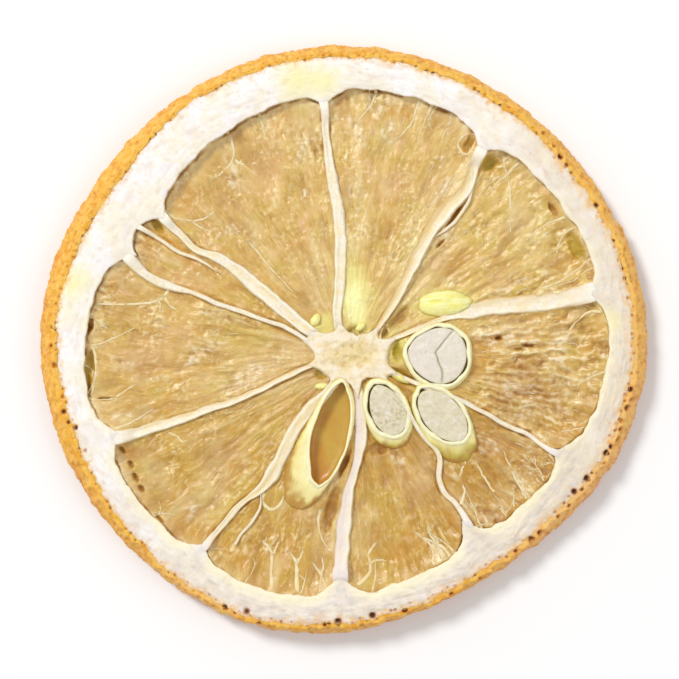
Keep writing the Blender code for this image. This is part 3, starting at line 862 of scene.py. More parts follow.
RIBS = (
    rib_of(((1, 22), (4.5, 22.7), (7.4, 22.9), (11.2, 20.3), (14.9, 16.5), (22, 14.6)),
           ((3, 0.4), (8, 0.5), (10.5, 1.35), (14, 1.65), (18, 1.5)),
           tall=0.16, split=0.5, thin=0.5, sheer=0.15, soft=0.8),
    rib_of(((1, 44), (3, 47), (4.8, 50), (7, 53.5), (9.2, 56.4), (11.8, 57.8), (14.8, 56.7), (16.8, 55.7),
            (18.9, 57.3), (22, 58.2)),
           ((3, 0.4), (4.8, 0.65), (9.2, 1), (11.8, 1.25), (14.8, 1.35), (16.8, 1.05), (18.9, 0.85)),
           tall=0.26, split=0.3, thin=1, sheer=0.45, soft=0.3),
    rib_of(((1, 118), (2.6, 113), (5.2, 102), (8.9, 96), (16.6, 96.6), (22, 96.3)),
           ((3, 0.8), (9, 1.05), (14, 1), (18, 0.65)), split=0.6, sheer=0.15),
    rib_of(((1, 152), (5, 147.2), (7.7, 145.2), (11.6, 143.3), (13.5, 143.6), (15.4, 145.4), (17, 144.6),
            (21, 142.8)),
           ((3, 0.95), (7, 1.25), (10, 1.3), (13, 1), (15, 0.6), (19, 0.7)), split=1, sheer=0.1),
    rib_of(((1, 170), (4.8, 157.9), (8.6, 157.6), (12.6, 158.5), (14, 157.9), (16.3, 159), (18, 158.4),
            (21, 154.6)),
           ((10, 0.4), (14, 0.45), (16, 0.7), (19, 0.9)), split=0.2, sheer=0.2),
    rib_of(((1, 190), (3.6, 193), (6.4, 198.6), (9.7, 200.8), (12.8, 200.3), (16.5, 200), (22, 198.5)),
           ((3, 0.38), (8, 0.5), (12, 0.6), (16, 0.85), (19, 1)),
           tall=0.28, split=0.3, thin=-0.6, sheer=0.25),
    rib_of(((1, 238), (2.8, 236.5), (5.9, 231.6), (10.6, 235.4), (13.2, 235.8), (15, 233.4), (17.5, 232.5),
            (22, 232.2)),
           ((3, 0.8), (6, 1.1), (12, 1.2), (13.3, 0.8), (14.5, 0.5)), tall=0.26, split=1, sheer=0.8),
    rib_of(((1, 283), (2.1, 281.3), (3.7, 279.5), (5.7, 277.6), (7.6, 275.4), (9.1, 272.3), (11.1, 269.2),
            (14.1, 267.6), (21, 267.3)),
           ((2, 0.9), (5.6, 1.15), (7.6, 1), (9.1, 0.65), (11, 0.85), (14, 1.25), (18, 1.15)),
           split=0.4, thin=-0.5, sheer=0.15, soft=0.3, lilac=0.75),
    rib_of(((1, 327), (4.4, 322.7), (6.2, 317), (8.6, 311.8), (11, 311.5), (12.4, 305.4), (13.3, 304.2),
            (14.9, 305.4), (16.6, 304.8), (20, 303.9)),
           ((10, 0.4), (11.5, 0.5)), tall=0.28, split=0.1, sheer=0.4),
    rib_of(((1, 338), (4.5, 337.8), (6.5, 337.3), (10.3, 337.9), (11.5, 337.2), (13.8, 336.2), (16.1, 336),
            (17.5, 334.9), (21, 335.3)),
           ((3, 0.4), (10, 0.42)), split=0.1, sheer=0.3),
)
# Three thinner walls that split off the fourth, the seventh and the second rib.
OFFSHOOTS = (
    rib_of(((12.8, 147.6), (15.3, 147.6), (16.7, 148.7), (18.5, 148.5), (22, 148.9)),
           ((13, 0.2), (15, 0.3), (20, 0.36)), tall=0.18),
    rib_of(((13.4, 235.6), (14.2, 238), (15.2, 239), (17.4, 238.2)), ((13, 0.28), (17, 0.24)), tall=0.16),
    rib_of(((11.6, 56.4), (12.4, 54.4), (13.8, 52.5), (15.2, 52.7), (16.2, 53.2), (17.2, 54.6), (18, 56.6)),
           ((12, 0.2), (14, 0.3), (18, 0.25)), tall=0.14),
)
RIB_START = 1.5
# How far its outer end runs in under the pith.
RIB_BURIED = 1.3
RIB_ACROSS = 19
RIB_UNDER = 7


def through(at, known_at, known):
    """A smooth line through known values, read at other places."""
    known_at, known = np.asarray(known_at, float), np.asarray(known, float)
    slope = np.gradient(known, known_at)
    i = np.clip(np.searchsorted(known_at, at) - 1, 0, len(known_at) - 2)
    step = known_at[i + 1] - known_at[i]
    t = np.clip((at - known_at[i]) / step, 0, 1)
    return (
        (1 + 2 * t) * (1 - t) ** 2 * known[i] + t * (1 - t) ** 2 * step * slope[i]
        + t * t * (3 - 2 * t) * known[i + 1] + t * t * (t - 1) * step * slope[i + 1]
    )


def rib_angle(rib, distance):
    """The angle about the core, in radians, of a rib at each distance from it."""
    return np.radians(through(distance, *zip(*rib["way"])))


def into_seed(x, y):
    """How far out a point is in the nearest husk's mouth, 1 along its edge, and its half width."""
    share, half_width = np.full(x.shape, 99.0), np.ones(x.shape)
    for husk in HUSKS.values():
        edge = ring(husk["size"], husk["turn"], husk["egg"], husk["point"], husk_turns)
        about = np.arctan2(edge[:, 1], edge[:, 0])
        east, north = x - husk["middle"][0], y - husk["middle"][1]
        reach = np.interp(np.arctan2(north, east), about, np.hypot(*edge.T), period=TURN)
        out = np.hypot(east, north) / reach
        half_width = np.where(out < share, husk["size"][1] / 2, half_width)
        share = np.minimum(share, out)
    return share, half_width


def flesh_level(x, y, from_rib, from_pith):
    """The flesh's surface where nothing is drawn on it: it hangs between ribs, pith and seeds."""
    slack = 0.16 * rough(pair(x, y) / 5, 61, 2)
    # It dried fast to the pith along the bottom, and lower down its wall at the upper left.
    stuck = 0.55 + 0.22 * toward(np.arctan2(y, x), 285)
    share, half_width = into_seed(x, y)
    by_seed = 0.3 * near((share - 1) * half_width, 0.35)
    return FILM_TOP + slack + by_seed + stuck * near(from_pith, 0.9) + 0.2 * near(from_rib, 0.6)


rib_skin = Finish("dried membrane", 0.6, 0.35, soak=0.3, soak_colour=(1, 0.75, 0.45), soak_depth=0.6)
rib_skin.coat((248, 238, 220))
rib_skin.coat((246, 230, 192), rib_skin.blotch(1.2, 4, 0.4, 0.65))
rib_skin.coat((234, 210, 168), rib_skin.blotch(0.4, 4, 0.5, 0.75, 0.35))
rib_skin.coat((216, 198, 176), rib_skin.blotch(0.24, 4, 0.5, 0.66, 0.45, roughness=0.65))
rib_skin.coat((255, 252, 246), rib_skin.blotch(0.3, 4, 0.52, 0.66, 0.5, roughness=0.65))
rib_skin.coat((232, 208, 150), "sheer")
rib_skin.coat((255, 248, 222), "lip")
rib_skin.coat((216, 178, 108), "base")
rib_skin.coat((252, 244, 230), "by_pith")
# Painted shade near the pith along the bottom, and the lilac half of a rib.
rib_skin.coat((234, 221, 216), "greyer")
rib_skin.bump(rib_skin.noise(0.12, 4, 0.6), 0.03)

for number, rib in enumerate(RIBS + OFFSHOOTS, 1):
    # Its middle line wavers a little on its way out, and ends under the pith.
    start = max(RIB_START, rib["way"][0][0])
    distance = np.arange(start, min(RIB_END, rib["way"][-1][0] + 1), RIB_STEP)
    angle = rib_angle(rib, distance)
    bend = 0.1 * grain(pair(distance / 2.4, 0.3), 70 + number)
    bend += 0.035 * grain(pair(distance / 0.9, 0.7), 71 + number)
    line = CORE + distance[:, None] * spoke(angle) + bend[:, None] * spoke(angle + math.pi / 2)
    reach = pith_edge(np.arctan2(line[:, 1], line[:, 0])) - np.hypot(*line.T)
    kept = reach > -RIB_BURIED
    line, distance, reach, angle = line[kept], distance[kept], reach[kept], angle[kept]
    ahead = np.gradient(line, axis=0)
    ahead /= np.linalg.norm(ahead, axis=-1, keepdims=True)
    side = pair(-ahead[:, 1], ahead[:, 0])
    wander = pair(distance / 2.2, float(number))
    width = np.interp(distance, *zip(*rib["widths"])) * (1 + 0.2 * rough(wander, 90, 3))
    width = np.maximum(width, 0.2) + 0.12 * near(reach, 0.6)
    if rib in OFFSHOOTS:
        width *= fade(distance, start, start + 1.5) * 0.8 + 0.2
    rise = rib["tall"] * (1 + 0.2 * rough(wander * 0.8 + 9, 91, 3))
    # Its first stretch sinks into the core's arm, and its last one into the pith's point.
    rise -= 0.45 * fade(0.8 * core_edge(angle) - distance, -0.5, 0.3)
    level = flesh_level(line[:, 0], line[:, 1], 0, reach)
    ceiling = rim_top(np.arctan2(line[:, 1], line[:, 0])) + 0.03 - 0.5 * fade(-reach, 0.3, 1.1)
    # Across it, from -1 on its right to 1 on its left, its top has a crown, two lips with a valley
    # between them, or a thin side that slopes down into the flesh.
    over = np.linspace(-1, 1, RIB_ACROSS)
    open_part = fade(reach, 0.4, 2)
    lips = rib["split"] * (0.35 + 0.65 * fade(grain(wander * 0.4, 92), -0.3, 0.4)) * open_part
    crown = 1 - np.abs(over) ** 5
    # One lip stands higher than the other, and they change places along the rib.
    tilt = np.clip(1.5 * grain(wander * 0.6 + 5, 94), -1, 1)
    thin, thin_side = abs(rib["thin"]), np.sign(rib["thin"])
    valley = bell(over, 0.15 * tilt[:, None], 0.42)
    lip = bell(np.abs(over), 0.72, 0.15) * (1 - thin * fade(over * thin_side, -0.2, 0.2))
    height = crown + lips[:, None] * (0.28 * lip * (1 + 0.6 * tilt[:, None] * np.sign(over)) - 0.5 * valley)
    slope = thin * fade(over * thin_side, -0.5, 0.3) * open_part[:, None]
    edge_lip = thin * bell(over * thin_side, -0.7, 0.16) * open_part[:, None]
    height = height * (1 - 0.75 * slope) + 0.35 * edge_lip
    fibre = grain(pair(distance[:, None] / 1.4, over * 3.1 + number), 95)
    ripple = 0.04 * grain(pair(distance[:, None] / 0.7, over * 1.4 + number), 93) + 0.03 * fibre
    ripple = ripple * fade(reach, -0.2, 0.8)[:, None]
    top_line = level[:, None] - 0.12 + (rise[:, None] + 0.07) * height + ripple * crown
    flush = ceiling[:, None] + 0.06 * (height - 1)
    top_line = np.minimum(top_line, flush + ripple)
    top_line += (flush - top_line) * fade(1.8 - reach, 0, 1.8)[:, None]
    back = np.linspace(1, -1, RIB_UNDER + 2)[1:-1]
    keel = FILM_BOTTOM + 0.1 - 0.2 * (1 - back**2) - 0.1 * near(reach[:, None], 0.9)
    aside = np.concatenate([over, back]) * width[:, None] / 2
    flat = line[:, None] + side[:, None] * aside[..., None]
    grid = np.concatenate([flat, np.concatenate([top_line, keel], 1)[..., None]], -1)

    sheer, bright = np.zeros((2, *grid.shape[:2]))
    base = np.ones(grid.shape[:2])
    lipped = np.clip(lip * lips[:, None] + edge_lip, 0, 1)
    thinnest = np.maximum(slope, valley * lips[:, None])
    seen_through = thinnest * (0.1 + 0.9 * rib["sheer"]) + 0.4 * rib["sheer"]
    sheer[:, :RIB_ACROSS] = seen_through * (1 - lipped) * (1 + 0.5 * fibre)
    bright[:, :RIB_ACROSS] = 0.8 * lipped
    soft = rib["soft"]
    edges = fade(np.abs(over) + 0.12 * soft * fibre, 0.84 - 0.5 * soft, 1)
    edges = edges * (0.7 + 0.2 * soft) * (1 - 0.6 * edge_lip / max(thin, 0.1))
    # On its thin side it runs out into the flesh without an edge.
    run_out = thin * fade(over * thin_side + 0.2 * fibre, 0, 1.1) * open_part[:, None]
    base[:, :RIB_ACROSS] = np.maximum(edges, run_out)
    by_pith = 0.9 * near(reach, 0.9)[:, None] * np.ones(grid.shape[1])
    # Near the pith along the bottom it has painted shade, like the pith's; its lilac half is its own colour.
    greyer = by_pith * fade(toward(angle, 290), -0.2, 1.2)[:, None]
    lilac = rib["lilac"] * fade(-over + 0.3 * fibre, -0.7, 0.1)
    greyer[:, :RIB_ACROSS] = np.maximum(greyer[:, :RIB_ACROSS], lilac)
    piece = closed_mesh(
        f"membrane_{number:02d}", grid, stack_faces(*grid.shape[:2]), rib_skin.material,
        sheer=np.clip(sheer, 0, 1), lip=bright, base=base, by_pith=by_pith, greyer=greyer,
    )
    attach(piece, "root")
    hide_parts("lemon_slice")

# ---------------------------------------------------------------------------------------------
# The flesh of each segment is what is left of its juice sacs: they burst and dried flat into a
# thin amber film, drawn into fine wrinkles that point at the core, with small gaps torn in it.
# ---------------------------------------------------------------------------------------------
FLESH_STEP = 0.088
COARSE = 3
FLESH_REACH = 22.5
SACS_IN_A_TURN = 84
SAC_LENGTH = 3.8
LEAST_THICKNESS = 0.28
# How far the film laps under the ribs, the pith and the husks, how low it runs under a husk, and how
# far from the core's middle it starts.
UNDER_RIB = 0.05
UNDER_PITH = 0.45
UNDER_HUSK = 0.6
HUSK_LEVEL = 0.85
CORE_HOLE = 1.6
# (x, y, length, width, turn, how brown with painted shade, how green) of the small gaps and slits.
GAPS = (
    (1.15, 0.6, 1.3, 0.9, 0, 0.6, 0.4), (3.75, 0.55, 0.9, 0.6, 70, 1, 0.2),
    (4.9, 1.7, 2.6, 0.7, 46, 0.8, 0), (4.75, -1, 1.6, 0.7, 95, 0.1, 1), (2.75, -2.8, 1, 0.6, 10, 0.3, 0.9),
    (5.1, -3, 2.2, 1, -28, 0.5, 0.7), (-3.35, 1.15, 1.9, 0.6, -38, 0.9, 0.5),
    (-1.5, -2.8, 1.2, 0.8, 0, 0.5, 0.5), (-0.75, -14.3, 4, 0.95, 76, 1, 0),
    (0.35, -10.3, 2.2, 0.5, 66, 1, 0), (3.4, -9, 2.2, 0.9, 10, 0.7, 0), (0.9, -12, 1.6, 0.4, 80, 0.6, 0),
    (-20.6, -2.5, 3, 0.8, 85, 0.7, 0.5), (-20.6, 1.1, 1.4, 0.6, 80, 1, 0),
    (19.5, 7.6, 2.2, 1, -62, 0.4, 0.6), (12.4, 14.6, 1.4, 1.2, 0, 0.4, 0.6),
    (10.8, 16.2, 1.4, 0.8, 60, 0.5, 0.2), (17.6, 10.7, 1.6, 0.4, -58, 0.8, 0),
    (-17.9, -9.1, 0.8, 0.3, -50, 1, 0), (-17.2, -10.3, 0.7, 0.35, -60, 1, 0),
    (-16.8, -11.4, 0.8, 0.3, -60, 1, 0), (-16.3, -12.3, 0.7, 0.4, -50, 1, 0),
    (-14.8, -14.8, 1, 0.3, -45, 1, 0), (-15.1, 9.5, 1.4, 0.6, -60, 0.6, 0.5),
    (-19.3, -4.9, 1.2, 0.3, 0, 0.9, 0), (15.6, -0.5, 1, 0.3, -10, 1, 0), (13.2, 0.1, 0.5, 0.3, 0, 1, 0),
    (14.8, -0.8, 0.8, 0.3, 0, 1, 0), (8.4, 8, 0.9, 0.3, 45, 0.9, 0), (9.5, 10.2, 3, 0.3, 56, 0.7, 0),
)

# Where the torn sacs are crumbled and milky, where the film is paler or darker, and where it is
# stained rich gold, rose or green, each as (x, y, length, width, turn).
MILKY = (
    (-3.1, 15.7, 2.8, 0.9, 75), (-2.9, 11.9, 1.7, 0.7, 50), (1.4, 17.2, 2.6, 1, -60),
    (0.9, 12, 1.5, 0.5, 80), (-8.7, 13.4, 2.2, 0.8, 80), (-9.2, 9, 1.6, 1, 30), (8.6, 12.4, 2.2, 0.8, 55),
    (4, 17.4, 1.6, 0.8, 70), (9.4, 4.7, 1.5, 0.8, 0), (8.5, 8.5, 1.6, 0.8, 50), (13.2, 3.8, 2.2, 0.7, 20),
    (14.2, -0.1, 6, 1.8, -10), (18, -0.6, 3, 2, 60), (15.6, -4.6, 4.8, 3.2, -30), (4.8, -9.8, 2.2, 1, -60),
    (10.3, -12.8, 1.8, 0.6, 80), (-7.3, -2.8, 3.6, 1.2, 25), (-17.9, -6.4, 1.4, 0.9, 0),
    (-17.9, -1.9, 1.8, 0.6, -30), (12.3, -15, 1.8, 1, 20), (-11.5, -1, 4.5, 1.4, 35),
    (-12.2, -14.2, 2, 1, 60), (3.6, 19.3, 2.2, 0.7, 40), (12.6, -8.8, 1.6, 1.2, 0),
)
PALER = (
    (7, 6.5, 16, 4.5, 70), (0, -16, 7.5, 5, 90), (-6, -3, 12, 5, 15), (-1.5, 5, 7.5, 4, 90),
    (-2, 17.5, 5, 4, 50), (14.5, -12, 8, 1.8, 50), (14.5, 1, 6, 1.2, 10), (7, -10.5, 4.5, 2.2, 105),
    (-15, -11, 4.5, 2, 125), (-10.5, -12, 8, 2.5, 85), (15, -7.5, 6, 2.5, 135), (-7, 9, 4, 1.5, 120),
    (-9.5, 2, 4, 1.5, 170), (11, -14.5, 3, 2, 40), (4, 16.8, 3, 2, 60), (1.2, 12.2, 3, 2.4, 120),
    (15.5, 9, 5, 3, 110), (-17, -6.3, 3, 1.5, 20), (-2, -3.6, 3, 1.2, 30), (-1, -12.5, 4, 3, 60),
)
SHADY = (
    (16.5, -4, 8, 4, 0), (-10, 12, 6.5, 3.5, 55), (-17.5, 3.5, 7.5, 3, 70), (4, -9.3, 3.5, 1.3, 20),
    (10.5, -8.5, 2.5, 1, 60), (-16.5, -2, 3.5, 2.5, 0), (-2.8, -6, 2.5, 1, 70), (-10, 14.5, 2.5, 2, 50),
    (-17.5, 5.5, 3, 2, 60),
)
GILT = (
    (-4.9, 18.7, 2.4, 1, 20), (-0.4, 19.7, 2.6, 1.2, 10), (4.6, 18.9, 4.2, 1.6, 0),
    (10.8, 16.2, 1.8, 1.3, 60), (12.5, 14.6, 1.8, 1.8, 0), (17.1, 11.8, 4.4, 0.8, -60),
    (19.4, 7.4, 3, 1.6, -60), (17, 1.6, 5, 1.2, 5), (20.8, -0.2, 3.4, 1.6, 80), (12.2, -1.4, 2.6, 3.6, 0),
    (10.2, -10.9, 2.8, 1, -80), (9.2, -15.2, 4, 1.2, -60), (-16.4, -13.2, 3.4, 1.2, -50),
    (-17.6, -9, 2.2, 1, -20), (-12.4, -15.9, 4.4, 1.2, -30), (-9, -17.4, 3.2, 1.6, -35),
    (-19, 4.4, 3.2, 1.4, 50), (-20.6, -2.6, 3.2, 0.9, 85), (-19.4, -5.8, 2, 1, -60),
    (-10.7, -2.1, 1.2, 0.8, 0), (-14, 8, 3.4, 0.9, -38), (-16.2, 7.9, 2.2, 1.4, 30),
    (-13.3, 11.8, 2.8, 1.6, 50), (9.4, 6.4, 3, 1.4, 40), (-4, 2, 2.8, 0.8, -35), (-8.4, 17, 3, 1, 30),
    (5.2, -8.8, 3, 1.6, 0), (-1.4, -12.9, 1.4, 1, 60),
)
ROSE = (
    (-6, 13.6, 4.5, 2.8, 60), (-13.2, 4.9, 4.5, 1, -20), (-15.5, 7.2, 3, 0.8, -30), (-9, -9.8, 5, 2.4, 50),
    (4.4, 12.8, 3.6, 2, 40), (-16, -1.2, 5, 3, 0), (12.8, -8.6, 3.6, 2, -30), (14.6, -4, 4, 3, 0),
    (-3.6, -0.5, 2, 1, -40), (6, -12.4, 4, 2.6, -50), (14, 5, 4, 1.6, 10),
)
LEAFY = (
    (-8.4, 0.2, 4.6, 3, 0), (3.3, 16, 2.2, 1.6, 60), (10.6, 9.4, 4, 2, 45), (12.3, 14.2, 1.4, 1, 40),
    (14.6, 3.9, 2.4, 0.6, 10), (19, 2.4, 2.6, 0.9, 15), (20, 5, 1.4, 1.6, 0), (-15.2, 9.4, 1.6, 0.7, -60),
    (-12.4, 8.9, 2.2, 0.5, -25), (6.6, 5.6, 4, 1.2, 60), (-17, 5.7, 2.4, 0.6, -45),
    (15.2, -12.6, 2.6, 2, 0), (3, -20, 4, 1, 10), (-9, -13.6, 4.6, 1.4, 50), (-6.2, -8, 4.4, 1.4, 55),
    (-15.6, -10.6, 3.4, 1.4, -10),
)

# The stains round the unripe seeds and the husks' buried ends.
LEMON = (
    (1.25, 3.8, 6.8, 3, 100), (8.8, 2.9, 5.4, 2.8, 4), (9.2, -9.4, 1.8, 1.4, 300),
    (4.8, -0.6, 3.2, 2.2, 90), (-1.3, 1.2, 2.4, 1.8, 40),
)
# How rough, how deep gold, how yellow and how rich gold it is on the whole, as (angle about the
# core, value).
ROUGHER = ((15, 0), (38, -0.4), (60, 0), (90, 0), (118, -0.3), (150, 0.1), (210, -0.25), (255, 0),
           (285, -0.3), (318, -0.1), (345, 0.2))
DEEPER = ((0, -0.6), (36, -0.1), (60, -0.1), (150, 0.3), (180, 0), (215, 0.3), (250, 1.1), (285, 0.1),
          (318, 1.3), (345, -0.2))
YELLOWER = ((0, 0.35), (36, 0.75), (60, 0.5), (80, 0.35), (118, 0.15), (150, 0), (180, 0.1), (215, 0.4),
            (250, 0), (285, 0.2), (318, 0))
RICHER = ((0, 0), (180, 0), (215, 0.3), (232, 0), (250, 0.3), (270, 0.05), (300, 0.2), (318, 0.6),
          (335, 0.25), (345, 0))

# It is worked out on one square grid of points over the whole slice. The underside uses every
# third of them.
coarse_count = int(2 * FLESH_REACH / (COARSE * FLESH_STEP))
steps = (np.arange(coarse_count * COARSE + 1) - coarse_count * COARSE / 2) * FLESH_STEP
east, north = np.meshgrid(steps, steps)
far = np.hypot(east - CORE[0], north - CORE[1])
bearing = np.arctan2(north - CORE[1], east - CORE[0])
from_pith = pith_edge(np.arctan2(north, east)) - np.hypot(east, north)
rib_bearings = [rib_angle(rib, far) for rib in RIBS]


def from_line(at):
    """How far each point of the flesh lies from a line given by its angle at each distance."""
    return far * np.abs(np.sin(np.clip(turned_from(bearing, at), -1.5, 1.5)))


split_off = np.where(far > 13, from_line(rib_angle(OFFSHOOTS[0], far)), 9)
from_rib = np.minimum(np.min([from_line(at) for at in rib_bearings], 0), split_off)


def cells(point, seed, around):
    """How far the nearest and second nearest scattered site lie, and a number for the nearest."""
    low = np.floor(point)
    first = np.full(point.shape[:-1], 9.0)
    second, who = first.copy(), first.copy()
    for hop in np.ndindex(3, 3):
        cell = low + np.array(hop) - 1
        key = cell.copy()
        key[..., 0] %= around
        site = cell + np.stack([scatter(key, seed), scatter(key, seed + 1)], -1)
        away = np.linalg.norm(point - site, axis=-1)
        nearer = away < first
        second = np.where(nearer, first, np.minimum(second, away))
        who = np.where(nearer, scatter(key, seed + 2), who)
        first = np.where(nearer, away, first)
    return first, second, who


plan = pair(east, north)
crumple = rough(plan / 1.1, 110, 2)


def spots_of(ovals):
    """How deep each point lies in the nearest of some soft-edged ovals, 1 in its middle."""
    found = np.zeros(east.shape)
    for x, y, length, width, turn in ovals:
        out = oval(east, north, x, y, length / 2, width / 2, turn) + 0.35 * crumple
        found = np.maximum(found, np.exp(-np.maximum(out, 0) ** 3))
    return found


drift = 0.35 * rough(plan / 2.6, 101, 2)
turnwise = bearing / TURN * SACS_IN_A_TURN
sac_place = pair(turnwise + drift, far / SAC_LENGTH + 0.25 * grain(plan / 3, 103))
nearest, next_nearest, sac = cells(sac_place, 104, SACS_IN_A_TURN)
edge_of_sac = next_nearest - nearest

pillow = fade(edge_of_sac, 0, 0.5)


def streak(fineness, length, seed, waver):
    """Noise drawn out along the sacs, many times finer across them."""
    across = turnwise * fineness + waver * drift * fineness / 3
    along = far / length + 0.5 * grain(plan / (0.6 * length), seed + 1)
    return grain(pair(across, along), seed, SACS_IN_A_TURN * fineness)


satin = streak(1, 4, 116, 1.2)
fold = streak(2, 2, 105, 2)
crease = streak(4, 0.85, 107, 2.4)
crumb = rough(plan / 0.45, 109, 2)
patch = rough(plan / 3.6, 112, 3)
# Drawn into furrows most on the right and along the bottom, and crumbled most at the top.
east_side = fade(toward(bearing, 345), 0.1, 0.95) * fade(far, 8.5, 11.5)
milky = spots_of(MILKY)
busy = patch + 0.4 * east_side + 0.2 * fade(far, 5, 17) - 0.3 + by_angle(ROUGHER, bearing)
busy = np.maximum(fade(busy, -0.25, 0.5), milky)
pucker_spots = fade(grain(plan / 2.4, 114) + 0.25 * north / FLESH_REACH, -0.05, 0.4)
puckers = fade(rough(plan / 0.4, 113, 2), 0.05, 0.6) * pucker_spots

in_seed, seed_half_width = into_seed(east, north)
from_seed = (in_seed - 1) * seed_half_width
# The largest unripe seed, above the core, is only a pale yellow mound under the film.
mound = np.exp(-(np.maximum(oval(east, north, 1.22, 2.95, 2.3, 1.05, 97) + 0.2 * crumple, 0) ** 3))
hollow, brown, green = np.zeros((3, *east.shape))
# Each gap is a hollow, painted brown as the shade in it, and some are greened.
for x, y, length, width, turn, browning, greening in GAPS:
    inside = np.exp(-(oval(east, north, x, y, length / 2, width / 2, turn) + 0.3 * crumple) ** 4)
    hollow = np.maximum(hollow, inside)
    brown = np.maximum(brown, inside * browning)
    green = np.maximum(green, inside * greening)

# Its surface: what hangs between the ribs, then the sacs, their folds and creases, and the gaps.
surface = flesh_level(east, north, from_rib, from_pith) + 0.15 * mound
surface += 0.04 * (pillow - 0.5) + 0.05 * (sac - 0.5) * pillow
surface += 0.08 * satin + (0.05 + 0.14 * east_side) * fold * (1 - mound)
surface += 0.07 * crease * (0.25 + 0.75 * busy) * (1 - mound) + 0.035 * crumb * (0.3 + 0.7 * busy)
surface += 0.05 * crumple + 0.06 * puckers

# Along the pith, most on the upper left where it casts its shadow, the film tore away into a groove, painted
# dark as shade.
torn_side = 0.5 + 0.5 * toward(np.arctan2(north, east), 140)
torn = bell(from_pith, -0.02, 0.13) * fade(grain(plan / 1.4, 111) + torn_side, 0.5, 1.1)
surface -= 0.3 * torn + 0.42 * hollow
# A shallow crease beside each rib, painted dark in patches as shade.
beside_rib = bell(from_rib, 0.34, 0.13) * fade(grain(plan / 1.6, 115), -0.3, 0.4)
surface -= 0.03 * beside_rib
# Where it runs in under the pith it stays below the pith's face.
under_pith = rim_top(np.arctan2(north, east)) - 0.22 - 0.5 * fade(-from_pith, -0.1, 0.3)
surface = np.where(from_pith < 0.8, np.minimum(surface, under_pith), surface)
surface -= 0.22 * fade(0.42 - from_rib, 0, 0.25)
surface = surface + (HUSK_LEVEL - surface) * fade(-from_seed, 0.02, 0.24)
underside = FILM_BOTTOM + 0.05 * crumple - 0.05 * fold
underside -= 0.15 * near(from_pith, 0.8) + 0.1 * near(from_rib, 0.5)
underside = np.minimum(underside, surface - LEAST_THICKNESS)

# Its colours: painted highlights on the crests and painted shade in the furrows, more so where it is rough.
dash = fade(0.8 * crease + 0.45 * crumb + 0.5 * east_side * fold, 0.15, 0.6)
pale = 0.65 * dash * (0.12 + 0.88 * busy) + 0.35 * puckers + 0.3 * fade(satin, 0.2, 0.8)
# Some patches of the film are paler and some darker than the rest. Next to the pith at the upper
# left a paler band is painted light that thins the pith's cast shadow there.
pale += 0.26 * spots_of(PALER) + 0.65 * torn_side * near(from_pith - 0.15, 0.5)
pale = np.clip(pale * (1 - hollow), 0, 1)
milk = np.clip(milky * (0.15 + 0.85 * fade(crease + 0.6 * crumb + 0.4 * fold, -0.05, 0.5)), 0, 1)
pit_like = fade(-(0.8 * crease + 0.5 * crumb + 0.9 * east_side * fold), 0.1, 0.8)
dark = 0.55 * pit_like * (0.2 + 0.8 * busy) + 0.65 * torn + 0.25 * beside_rib + 0.25 * spots_of(SHADY)
dark += 0.8 * brown + 0.3 * fade(-satin, 0.05, 0.6) + 0.15 * fade(-patch, 0, 0.8)
# The lower right segment is the darkest.
dark = np.clip(dark + 0.22 * bell(turned_from(bearing, math.radians(318)), 0, 0.3), 0, 1)
# The flesh is rosier at the upper left, and deeper gold towards the bottom and in a few segments.
gold = fade(-0.045 * north + 0.016 * east + 0.3 * patch + by_angle(DEEPER, bearing), -0.7, 0.8)
rose = spots_of(ROSE)
leafy = np.maximum(spots_of(LEAFY), by_angle(YELLOWER, bearing) * fade(patch, -0.8, 0.6))
gilt = np.maximum(spots_of(GILT), by_angle(RICHER, bearing) * fade(patch, -1, 0.3))
lemon = np.zeros(east.shape)
for x, y, length, width, turn in LEMON:
    stained = oval(east, north, x, y, length / 2, width / 2, turn) + 0.25 * crumple
    lemon = np.maximum(lemon, np.exp(-(np.maximum(stained, 0) ** 2.5)))

amber = Finish("dried flesh", 0.36, specular=0.5, soak=0.3, soak_colour=(1.0, 0.6, 0.2), soak_depth=0.6)
sacwise = amber.add("CombineXYZ", "Vector", {"X": "across", "Y": "along"})
amber.coat(amber.mix("gold", shade(216, 176, 100), shade(192, 146, 52)))
amber.coat(
    amber.mix("gold", shade(228, 194, 120), shade(214, 176, 88)),
    amber.blotch(1.3, 5, 0.38, 0.68, 0.75, roughness=0.6),
)
amber.coat((200, 172, 70), amber.blotch(2.3, 3, 0.50, 0.68, 0.6))
amber.coat((236, 196, 150), amber.blotch(1.7, 3, 0.56, 0.72, 0.5))
amber.coat((212, 150, 60), amber.blotch(3.1, 3, 0.56, 0.72, 0.45))
amber.coat((228, 184, 132), "rose", 0.5)
amber.coat((212, 190, 90), "leafy", 0.5)
amber.coat((204, 148, 36), "gilt", 0.65)
thread = amber.noise((0.30, 2.4, 1.0), 3, 0.55, sacwise)
fine = amber.noise((0.16, 0.8, 1.0), 3, 0.55, sacwise)
speck = amber.noise((0.34, 0.4, 1.0), 3, 0.6, sacwise)

amber.coat((238, 208, 146), amber.ramp(thread, 0.54, 0.72, 0.4))
amber.coat((186, 142, 64), amber.ramp(thread, 0.46, 0.3, 0.35))
# The fine streaks that the bump also raises are painted pale on their crests as highlights and dark in their
# hollows as shade, and the specks' crests are painted pale.
amber.coat((246, 224, 168), amber.ramp(fine, 0.54, 0.72, 0.5))
amber.coat((184, 136, 60), amber.ramp(fine, 0.46, 0.28, 0.4))
amber.coat((248, 224, 172), amber.ramp(speck, 0.56, 0.72, 0.45), amber.ramp("busy", 0, 1, 1, 0.35))
# The film's own paler patches, with painted highlights on the crests of its relief.
amber.coat((248, 230, 182), "pale")
amber.coat((250, 236, 210), "milk")
